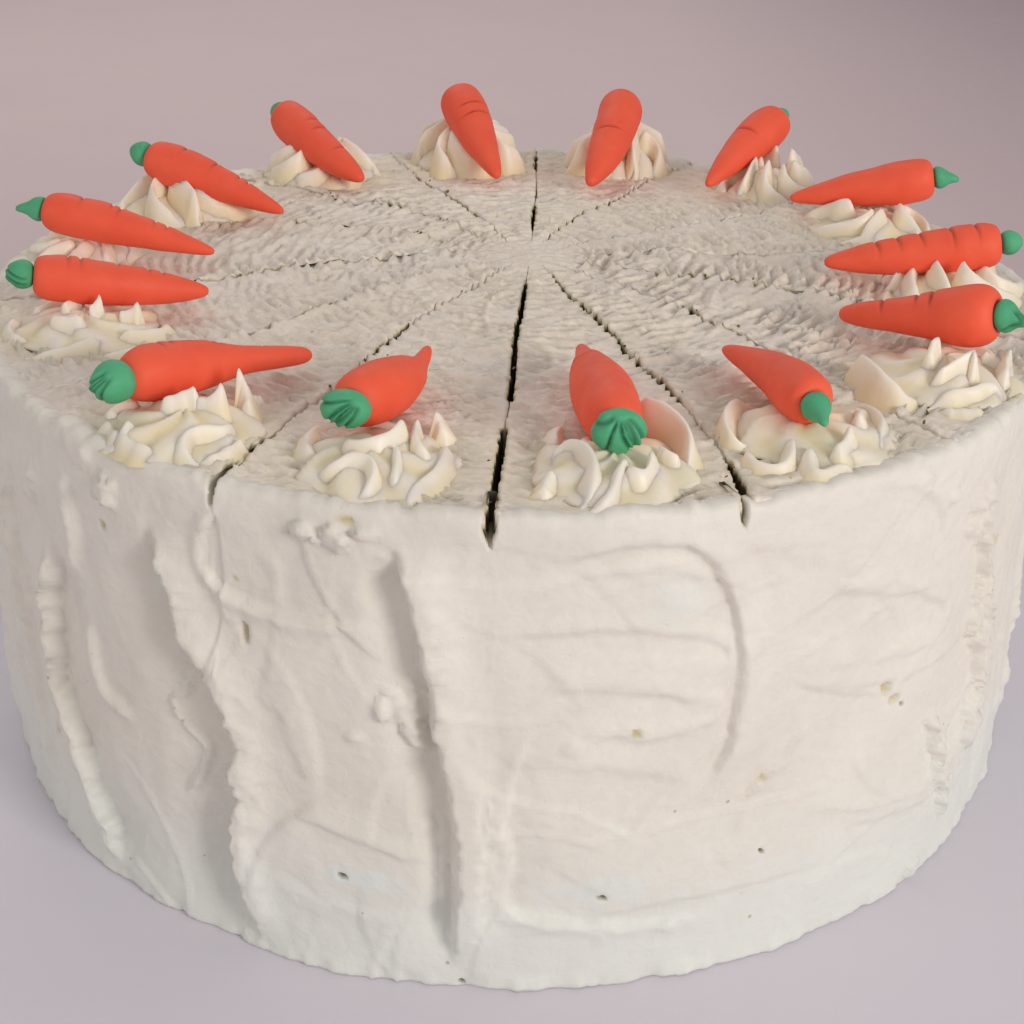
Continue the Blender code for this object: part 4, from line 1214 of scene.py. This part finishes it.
def carrotFrame(topping):
    # the tip, the length, and a turn whose Z runs from tip to end and whose X is uppermost
    tip = polar(topping["tip"][0], topping["tip"][1], topHeight + topping["tip"][2])
    end = polar(topping["end"][0], topping["end"][1], topHeight + topping["end"][2])
    along = (end - tip).normalized()
    side = along.cross(Vector((0, 0, 1))).normalized()
    up = side.cross(along).normalized()
    turn = Matrix((up, along.cross(up), along)).transposed()
    return tip, (end - tip).length, turn


def buildCarrot(number, topping):
    tip, length, turn = carrotFrame(topping)
    radius = topping["thick"] / 2
    shape = rounded(carrotShapes[topping["shape"]], 3) * np.array([length, radius])
    bm = spunOutline(evenly(shape, carrotMesh["rows"])[:, ::-1], carrotMesh["steps"])
    points = readPoints(bm)
    share = points[:, 2] / length
    reach = np.hypot(points[:, 0], points[:, 1])
    facing = np.degrees(np.arctan2(points[:, 1], points[:, 0]))
    lumps = cloud(points[:, 0], points[:, 1], points[:, 2], 9, 2, 60 + number)
    swell = 1 + carrotMesh["lumps"] * lumps / radius
    mark = np.zeros(len(share))
    for place, middle, span in topping["scores"]:
        bow = place + 0.012 * np.sin(np.radians(facing - middle) * 1.5)
        across = hump((share - bow) * length, carrotMesh["scoreWide"])
        mark = np.maximum(mark, across * hump(facing - middle, 1.5 * span))
        # the paste swells a little between two marks
        swell += 0.02 * hump((share - bow - 0.05) * length, 2.4) * hump(facing - middle, 2 * span)
    dimple = hump(share - 1, 0.07) * hump(reach, 0.55 * radius)
    points[:, 2] -= carrotMesh["dimple"] * dimple
    factor = swell - carrotMesh["scoreDeep"] * mark / np.maximum(reach, 0.5) * (reach > 0.5)
    points[:, 0] *= factor
    points[:, 1] = points[:, 1] * factor + topping["bend"] * np.sin(math.pi * np.clip(share, 0, 1))
    points[:, 0] += topping.get("lift", 0) * np.clip(1 - share / 0.3, 0, 1) ** 2
    placed = points @ np.array(turn).T + np.array(tip)
    writePoints(bm, *placed.T)
    bmesh.ops.recalc_face_normals(bm, faces=bm.faces)
    tints = np.zeros((len(share), 3))
    # painted shade in the knife marks and in the dimple under the green top
    tints[:, 0] = np.maximum(0.9 * mark, 0.5 * dimple)
    name = f"carrot_{number:02d}"
    return finishPiece(bm, name + "_paste", orangeLook, [name], tints)


def buildLeaf(number, topping):
    tip, length, turn = carrotFrame(topping)
    shape, long, wide, lean = topping["leaf"]
    radius = wide / 2
    outline = evenly(rounded(leafShapes[shape], 3) * np.array([long, radius]), leafMesh["rows"])
    bm = spunOutline(outline[:, ::-1], leafMesh["steps"])
    points = readPoints(bm)
    share = points[:, 2] / long
    groove = np.zeros(len(share))
    grooves = topping["grooves"]
    # the grooves fan out from one place on the rim, and curve a little
    aim = math.radians(topping.get("aim", 0))
    inward = 0.95 * radius - points[:, 0] * math.cos(aim) - points[:, 1] * math.sin(aim)
    aside = points[:, 1] * math.cos(aim) - points[:, 0] * math.sin(aim)
    away = np.hypot(inward, aside)
    fanned = np.arctan2(aside, np.maximum(inward, 0.01))
    for k in range(grooves):
        middle = (k - (grooves - 1) / 2) * leafMesh["spread"] + 0.05 * away * math.cos(k)
        across = hump(away * (fanned - middle), leafMesh["grooveWide"] * (0.8 + 0.4 * (k % 2)))
        groove = np.maximum(groove, across * smoothStep(0.8, 2.2, away))
    groove *= smoothStep(0.1, 0.35, share)
    lumps = cloud(points[:, 0], points[:, 1], points[:, 2], 4, 2, 90 + number)
    factor = 1 + 0.05 * lumps - leafMesh["pinch"] * groove
    points[:, 0] *= factor
    points[:, 1] *= factor
    points[:, 2] -= leafMesh["grooveDeep"] * groove * share
    points[:, :2] *= topping.get("flat", (1, 1))
    if shape == "drop":
        points[:, 0] -= leafMesh["droop"] * share ** 2
    leaning = Matrix.Rotation(math.radians(lean), 3, "X")
    local = points @ np.array(leaning).T + np.array((0, 0, length - 0.4))
    placed = local @ np.array(turn).T + np.array(tip)
    writePoints(bm, *placed.T)
    bmesh.ops.recalc_face_normals(bm, faces=bm.faces)
    tints = np.zeros((len(share), 3))
    # painted shade in the grooves and at the foot where the green top sits on the carrot
    tints[:, 0] = np.maximum(0.7 * groove ** 2, 0.6 * (1 - smoothStep(0, 0.12, share)))
    name = f"carrot_top_{number:02d}"
    return finishPiece(bm, name + "_paste", greenLook, [name], tints)


rosetteLook = {
    "fins": 9,
    "sweep": 66,            # degrees that a fin winds round on its way in
    "wave": 0.2,            # how far it swings to and fro on the way
    "thick": 3.3,
    "finRows": 30,
    "finColumns": 12,
    "mound": 0.5,           # the heap between the fins, as a share of the height
    "wavy": 0.4,            # how deep the swirl runs into the heap
    "low": 0.42,            # how much of a low fold stands out of the heap
    "drawnUp": (6, 9),      # crests from low to fully drawn up
    "taper": 0.24,          # how much of a fold its soft ends take up
    "sunk": 0.8,            # how deep the rosette stands in the top
    "within": 127.0,        # no fin reaches past this distance from the cake's axis
}
heapMesh = {"rows": 22, "steps": 84}
heapShape = [(-0.03, 0.0), (0.0, 0.99), (0.06, 0.96), (0.22, 0.86), (0.46, 0.7), (0.76, 0.46), (0.94, 0.22),
             (1.0, 0.0)]
# a fold made by rule: (share of its way in, distance from the middle, height of its crest)
foldShape = [(0, 0.96, 0.36), (0.1, 1.0, 0.44), (0.25, 0.9, 0.55), (0.45, 0.7, 0.68), (0.65, 0.5, 0.82),
             (0.85, 0.34, 0.9), (1, 0.2, 0.9)]
# folds drawn for the rosettes at the front and beside the left edge. Each point is (away from
# the axis, along the rim, height of the crest), measured from the rosette's middle
drawnFins = {
    1: [
        [(9.5, -15.5, 3.5), (6.5, -14.5, 5), (3, -12, 6)],
        [(0, -11, 5), (-3.5, -11, 6), (-4, -8.5, 6.5), (0, -6, 6.5), (5.5, -5.5, 6), (11, -7, 5),
         (15, -10, 3)],
        [(3, 3, 5), (7, -1, 5), (12, -3, 4.5), (15.5, -6.5, 4), (15.5, -9.5, 3)],
        [(-22, 7, 8), (-16, 9.5, 9), (-11, 13.5, 9), (-5.5, 16, 8), (1.5, 14.5, 7), (5.5, 12, 5)],
        [(5, -0.5, 5), (9.5, 1, 5), (10, 4, 6), (7, 6, 7), (1, 7, 7)],
        [(-22, -6, 4), (-16, -9, 5.5), (-9, -10, 5)],
        [(-1, 8, 5), (3, 10.5, 6), (2, 13, 5)],
    ],
    2: [
        [(-17, 0, 6), (-16, -7, 7), (-11, -14, 7.5), (-5, -18, 7), (-2, -17, 6), (-2, -12.5, 5)],
        [(-1.5, -15.5, 5), (3, -19.5, 4.5), (7, -19, 4.5), (9, -16, 5), (7, -12.5, 6), (1, -9, 6)],
        [(6.5, -7, 6), (11.5, -12, 5.5), (15.5, -13, 5), (15, -8, 5), (15.5, -5, 5), (18, -6, 3.5)],
        [(8.5, 1, 8), (11, -1, 7), (12.5, -4.5, 6), (11, -7.5, 5.5)],
        [(-8, 16, 5), (-3, 17, 6), (3.5, 15, 6), (8.5, 10.5, 5), (12, 6, 4), (15, 6, 3)],
        [(2, 8, 6), (6, 7, 6.5), (8, 3, 7)],
    ],
    3: [
        [(-17, -3, 6), (-16, -9, 7.6), (-12.5, -14, 8), (-8, -18.5, 8), (-3.5, -20, 7.4), (-1, -19, 6.4),
         (0.5, -14.5, 5)],
        [(-1.5, -9, 6), (-1, -6, 9), (-1.5, -3.5, 11), (0.5, -1.5, 9)],
        [(-0.5, -12, 5), (2.5, -9, 7), (5.5, -3.5, 9), (7, -2.5, 10), (8, -6, 8), (6, -7, 6)],
        [(3, -18, 4.5), (5.5, -13.5, 5), (9.5, -9.5, 5), (11.5, -5.5, 5.5), (14, -5, 5), (15, -9, 4)],
        [(10, 12, 8), (11, 3.5, 7.5), (14, -2.5, 6)],
        [(5.5, -18, 3.5), (10.5, -16, 3), (14, -12, 3)],
        [(-12, 10, 7), (-4, 15, 7), (4, 16, 6), (10, 12, 5)],
        [(4, 6, 7), (9, 7, 6), (15, 4, 4)],
    ],
    12: [
        [(0, 1.5, 4), (-2.5, 1.5, 7.5), (-4, 0.5, 10.5)],
        [(-6, 3, 4), (-10, 4, 6.5), (-13, 5, 9.5)],
        [(6, -2, 6), (1, -6, 7), (-2, -5, 7)],
        [(13, -10, 5), (17, -4.5, 5), (16.5, 3.5, 4.5), (12.5, 5.5, 4)],
        [(-4, 11, 5), (-10.5, 11.5, 5), (-16, 9.5, 5), (-18, 3.5, 5)],
        [(15, 13, 3.5), (9.5, 15, 4), (3, 13.5, 4), (-4, 12.5, 4.5)],
        [(0, 19, 3), (-7, 18.5, 3.5), (-14, 14, 3.5)],
        [(-2, -14, 6), (6, -14, 5), (12, -9, 4)],
        [(9, 1, 6), (5, 6, 6.5), (-1, 7, 6)],
    ],
    13: [
        [(4.5, -4, 6), (2.5, -1, 7), (-1, 1.5, 9), (-3, 4, 11)],
        [(-1.5, 0.5, 5), (-3, 4.5, 7), (-4, 6.5, 10), (-6.5, 5.5, 12.5)],
        [(-9, 9, 5), (-12, 6, 8), (-12, 4, 11), (-11.5, 2.5, 14)],
        [(-14, 3.5, 6), (-17, 3, 6), (-19, 4.5, 5)],
        [(-5, 9, 6), (-0.5, 12, 5), (3, 9, 5), (6.5, 7.5, 5), (10, 9, 4.5), (10.5, 12.5, 4), (8.5, 15, 3.5)],
        [(6.5, -5, 6), (12, -4, 5.5), (14.5, -2.5, 5), (15, 0.5, 4.5), (14.5, 5, 4), (13, 8, 3.5)],
        [(9, -12.5, 5), (12, -8.5, 5), (15, -2, 4)],
        [(-2, 14.5, 5), (2.5, 15.5, 4.5), (7, 15, 4), (9.5, 13, 3)],
        [(-2, -13, 6), (4, -15, 5.5), (8, -13, 4.5)],
    ],
    14: [
        [(9.5, -11, 3.5), (10, -5.5, 5), (7, -2.5, 6), (7.5, 1.5, 6), (11, 3, 5), (15, 2, 4),
         (16.5, -1, 3.5)],
        [(-10.5, 9.5, 6), (-4.5, 12.5, 5), (4, 13, 4.5), (10, 10.5, 4), (13.5, 10, 3.5), (15.5, 12.5, 3)],
        [(-15, -14, 5), (-9, -16.5, 5.5), (-2, -15.5, 5), (3, -12.5, 4.5), (0, -9.5, 4)],
        [(-0.5, -8.5, 5), (3.5, -2.5, 6), (0.5, 2, 7), (-3.5, 3.5, 9), (-8, 4.5, 11)],
        [(-11, 5.5, 10), (-6, 5.5, 7), (-0.5, 7.5, 6), (0.5, 10, 5), (-3, 11.5, 5)],
        [(-16, 6.5, 8), (-14.5, 9, 7.5), (-11.5, 10.5, 6)],
        [(-0.5, 3.5, 5), (6.5, 6, 4.5), (12, 6.5, 3)],
    ],
}


def addFin(bm, path, thick, lean, tints, seed):
    rows, columns = rosetteLook["finRows"], rosetteLook["finColumns"]
    line = evenly(rounded(path, 3), rows + 1)
    made = bmesh.ops.create_grid(bm, x_segments=columns, y_segments=rows, size=1)["verts"]
    for vert in made:
        row = round((vert.co.y + 1) / 2 * rows)
        across = vert.co.x
        before = line[max(row - 1, 0)]
        after = line[min(row + 1, rows)]
        along = Vector((after[0] - before[0], after[1] - before[1], 0)).normalized()
        left = Vector((-along.y, along.x, 0))
        share = row / rows
        taper = rosetteLook["taper"]
        full = float(smoothStep(0, 1, min(1.0, share / taper, (1 - share) / taper)))
        uneven = noise.noise(Vector((share * 5, seed, 0)))
        tall = line[row][2] * (0.08 + 0.92 * full) + 0.4 * uneven
        # a fold is thin at its crest and runs out softly at its foot
        rise = math.cos(across * math.pi / 2) ** 1.25
        half = thick * (0.25 + 0.75 * full) * (1 + 0.25 * uneven) * (0.7 + 0.3 * across ** 2)
        over = lean * rise ** 2 * full
        spot = Vector((line[row][0], line[row][1], 0)) + left * (-across * half + over)
        spot.z = tall * rise - 0.5 * (1 - rise)
        vert.co = spot * mm
        # painted shade towards the fold's foot
        tints[vert] = (1 - rise) ** 0.9
    return made


def pressUnder(points, topping):
    # cream gives way under the carrot that lies on it
    tip, length, turn = carrotFrame(topping)
    local = (points - np.array(tip)) @ np.array(turn)
    share = np.clip(local[:, 2] / length, 0, 1)
    shape = rounded(carrotShapes[topping["shape"]], 3)
    body = shape[shape[:, 1] > 0]
    order = np.argsort(body[:, 0])
    radius = np.interp(share, body[order, 0], body[order, 1]) * topping["thick"] / 2 - 0.2
    sideways = local[:, 1] - topping["bend"] * np.sin(math.pi * share)
    within = (local[:, 2] > -1) & (local[:, 2] < length + 1) & (np.abs(sideways) < radius)
    under = -np.sqrt(np.maximum(radius ** 2 - sideways ** 2, 0))
    local[:, 0] = np.where(within, np.minimum(local[:, 0], under), local[:, 0])
    return local @ np.array(turn).T + np.array(tip)


def buildRosette(number, topping):
    angle, distance, radius, height = topping["rosette"]
    rng = random.Random(100 + number)
    swirl = topping["swirl"]
    outline = evenly(rounded(heapShape) * np.array([height * rosetteLook["mound"], radius]), heapMesh["rows"])
    bm = spunOutline(outline[:, ::-1], heapMesh["steps"])
    tints = {}
    for vert in bm.verts:
        spot = vert.co / mm
        wave = noise.noise(Vector((spot.x / 6 + number, spot.y / 6, 0)))
        wind = math.atan2(spot.y, spot.x) - swirl * 1.3 * (1 - math.hypot(spot.x, spot.y) / radius)
        swell = math.sin(7 * wind + 1.5 * wave) * min(1, 0.4 + 3 * spot.z / height)
        vert.co *= 1 + 0.10 * wave
        vert.co.z += rosetteLook["wavy"] * swell * mm
        vert.co.x *= 1 + 0.07 * swell
        vert.co.y *= 1 + 0.07 * swell
        # painted shade in the heap's swirl valleys, made uneven
        tints[vert] = 0.5 - 0.25 * swell + 0.3 * wave
    heapRise, heapReach = np.array(heapShape[1:])[::-1].T
    fins = list(drawnFins.get(number, []))
    count = 0 if fins else rosetteLook["fins"]
    for k in range(count):
        start = 360 * k / count + rng.uniform(-11, 11)
        sweep = swirl * rosetteLook["sweep"] * rng.uniform(0.75, 1.25)
        outer = radius * rng.uniform(0.86, 1.04)
        tall = height * rng.uniform(0.85, 1.15)
        phase = rng.uniform(0, math.tau)
        path = []
        for share, reach, crest in foldShape:
            swing = rosetteLook["wave"] * math.sin(7 * share + phase)
            wind = math.radians(start + sweep * share ** 0.8) + swing
            path.append((outer * reach * math.cos(wind), outer * reach * math.sin(wind), crest * tall))
        fins.append(path)
    for k, path in enumerate(fins):
        kept = []
        for out, along, crest in path:
            limit = rosetteLook["within"] - math.hypot(distance + out, along)
            under = np.interp(math.hypot(out, along) / radius, heapReach, heapRise)
            low = rosetteLook["mound"] * height * under + rosetteLook["low"] * crest
            drawnUp = smoothStep(*rosetteLook["drawnUp"], crest)
            kept.append((out + min(0, limit), along, float(low + drawnUp * (crest - low))))
        thick = rosetteLook["thick"] * rng.uniform(0.8, 1.2)
        addFin(bm, kept, thick, swirl * rng.uniform(-0.3, 0.9), tints, 10 * number + k)
    bm.verts.index_update()
    deep = np.array([tints[vert] for vert in bm.verts])
    points = readPoints(bm)
    turn = math.radians(angle)
    flat = np.column_stack([points[:, 0] * math.cos(turn) - points[:, 1] * math.sin(turn),
                            points[:, 0] * math.sin(turn) + points[:, 1] * math.cos(turn), points[:, 2]])
    placed = flat + np.array(polar(angle, distance, topHeight - rosetteLook["sunk"]))
    placed = pressUnder(placed, topping)
    writePoints(bm, *placed.T)
    bmesh.ops.recalc_face_normals(bm, faces=bm.faces)
    # the green share carries the painted shade
    colours = np.zeros((len(deep), 3))
    colours[:, 1] = deep
    name = f"rosette_{number:02d}"
    return finishPiece(bm, name + "_piping", pipedLook, [name], colours)


for number, topping in enumerate(toppings, start=1):
    buildCarrot(number, topping)
    buildLeaf(number, topping)
    buildRosette(number, topping)
print("carrots, green tops and rosettes made")


crumbLook = {"count": 30, "perCut": 4, "size": (0.2, 0.5), "seed": 77, "within": 127,
             "dark": (0.07, 0.05, 0.02), "brown": (0.22, 0.14, 0.05), "roughness": (0.7, 0.95)}


def crumbFinish():
    material, tree, shader, place = newFinish("loose crumbs")
    kinds = noiseNode(tree, place, 9, 1)
    colour = mixColour(tree, rangeNode(tree, kinds, 0.42, 0.52), crumbLook["dark"], crumbLook["brown"])
    addSkin(tree, shader, place, colour, 1, crumbLook["roughness"])
    addBumps(tree, shader, (noiseNode(tree, place, 0.5, 3), 0.2, 0.8))
    return material


def buildCrumbs():
    rng = random.Random(crumbLook["seed"])
    spots = []
    for cut in topCuts:
        if len(cut["open"]) < 2:
            continue
        path = evenly(rounded(cut["path"]), 60)
        for _ in range(crumbLook["perCut"]):
            x, y = path[rng.randrange(4, 58)]
            spots.append((x + rng.gauss(0, 1.3), y + rng.gauss(0, 0.6)))
    while len(spots) < crumbLook["count"]:
        distance = 120 * math.sqrt(rng.random())
        turn = rng.uniform(0, math.tau)
        spots.append((distance * math.cos(turn), distance * math.sin(turn)))
    bm = bmesh.new()
    for x, y in spots:
        if math.hypot(x, y) > crumbLook["within"]:
            continue
        size = rng.uniform(*crumbLook["size"])
        turned = Matrix.Rotation(rng.uniform(0, 6), 4, Vector((rng.random(), rng.random(), 0.5)))
        stretched = Matrix.Diagonal((rng.uniform(0.7, 1.5), rng.uniform(0.6, 1.1), rng.uniform(0.5, 0.9), 1))
        where = Matrix.Translation(Vector((x, y, topHeight + 0.1)) * mm)
        bmesh.ops.create_icosphere(bm, subdivisions=1, radius=size * mm,
                                   matrix=where @ turned @ stretched)
    return finishPiece(bm, "loose_crumbs", crumbFinish(), [])


buildCrumbs()
print("crumbs scattered")


# one sheet of paper under and behind the cake, three lamps and the room's own light
studio = {
    "sheet": 4,                             # half its width in metres
    "aim": (0, 0, 0.08),                    # where the lamps point
    "table": (0.72, 0.68, 0.735),
    "wall": (0.71, 0.56, 0.555),
    "wallShade": (0.37, 0.265, 0.30),
    "patches": (0.55, 0.46, 0.51),
    "roughness": (0.6, 0.75),
    "turnsInto": (0.02, 0.34),              # how far back the table passes into the backdrop
    "shadeToRight": (0.12, 0.62),                # how far to the right the painted shade on the backdrop deepens
    "world": (0.94, 0.93, 0.95), "worldStrength": 0.47,
    "key": {"at": (0.80, -0.95, 0.52), "size": 0.4, "power": 7.8, "colour": (1.0, 0.97, 0.93)},
    "fill": {"at": (-1.1, -0.75, 0.55), "size": 0.7, "power": 2.3, "colour": (1.0, 0.92, 0.85)},
    "back": {"at": (-0.3, 1.0, 0.9), "size": 0.8, "power": 2.5, "colour": (1.0, 0.95, 0.92)},
}


def paperFinish():
    # one sheet of paper, pale where it lies and mauve where it goes back, with painted shade darkening it to
    # the right
    material, tree, shader, place = newFinish("paper sweep")
    parts = addNode(tree, "ShaderNodeSeparateXYZ", Vector=place)
    right = rangeNode(tree, parts.outputs["X"], *studio["shadeToRight"])
    away = rangeNode(tree, parts.outputs["Y"], *studio["turnsInto"])
    wall = mixColour(tree, right, studio["wall"], studio["wallShade"])
    colour = mixColour(tree, away, studio["table"], wall)
    patchy = rangeNode(tree, noiseNode(tree, place, 80, 4), 0.3, 0.7, 0.0, 0.1)
    colour = mixColour(tree, patchy, colour, studio["patches"])
    addSkin(tree, shader, place, colour, 8, studio["roughness"])
    addBumps(tree, shader, (noiseNode(tree, place, 1.5, 3), 0.1, 0.3))
    return material


def buildStage():
    bm = bmesh.new()
    bmesh.ops.create_grid(bm, x_segments=4, y_segments=4, size=studio["sheet"])
    mesh = bpy.data.meshes.new("paper")
    bm.to_mesh(mesh)
    bm.free()
    mesh.materials.append(paperFinish())
    sheet = bpy.data.objects.new("paper", mesh)
    bpy.context.scene.collection.objects.link(sheet)


def addLamp(name, look, aim):
    lamp = bpy.data.lights.new(name, "AREA")
    lamp.size = look["size"]
    lamp.energy = look["power"]
    lamp.color = look["colour"]
    obj = bpy.data.objects.new(name, lamp)
    obj.location = look["at"]
    obj.rotation_euler = (aim - obj.location).to_track_quat("-Z", "Y").to_euler()
    bpy.context.scene.collection.objects.link(obj)


buildStage()
for lampName in ("key", "fill", "back"):
    addLamp(lampName, studio[lampName], Vector(studio["aim"]))
world = bpy.data.worlds.new("soft room")
world.use_nodes = True
world.node_tree.nodes["Background"].inputs["Color"].default_value = (*studio["world"], 1)
world.node_tree.nodes["Background"].inputs["Strength"].default_value = studio["worldStrength"]
bpy.context.scene.world = world
bpy.context.scene.view_settings.view_transform = "Standard"

cameraLook = {"at": (0, -0.38228, 0.24086), "down": 27.17, "roll": 1.0, "yaw": -0.04, "lens": 56.25}
camera = bpy.data.objects.new("camera", bpy.data.cameras.new("camera"))
camera.data.lens = cameraLook["lens"]
camera.data.sensor_width = 36
camera.data.clip_start = 0.01
camera.matrix_world = (Matrix.Translation(cameraLook["at"])
                       @ Matrix.Rotation(math.radians(cameraLook["yaw"]), 4, "Z")
                       @ Matrix.Rotation(math.radians(90 - cameraLook["down"]), 4, "X")
                       @ Matrix.Rotation(math.radians(cameraLook["roll"]), 4, "Z"))
bpy.context.scene.collection.objects.link(camera)
bpy.context.scene.camera = camera
print("stage, lamps and camera set")
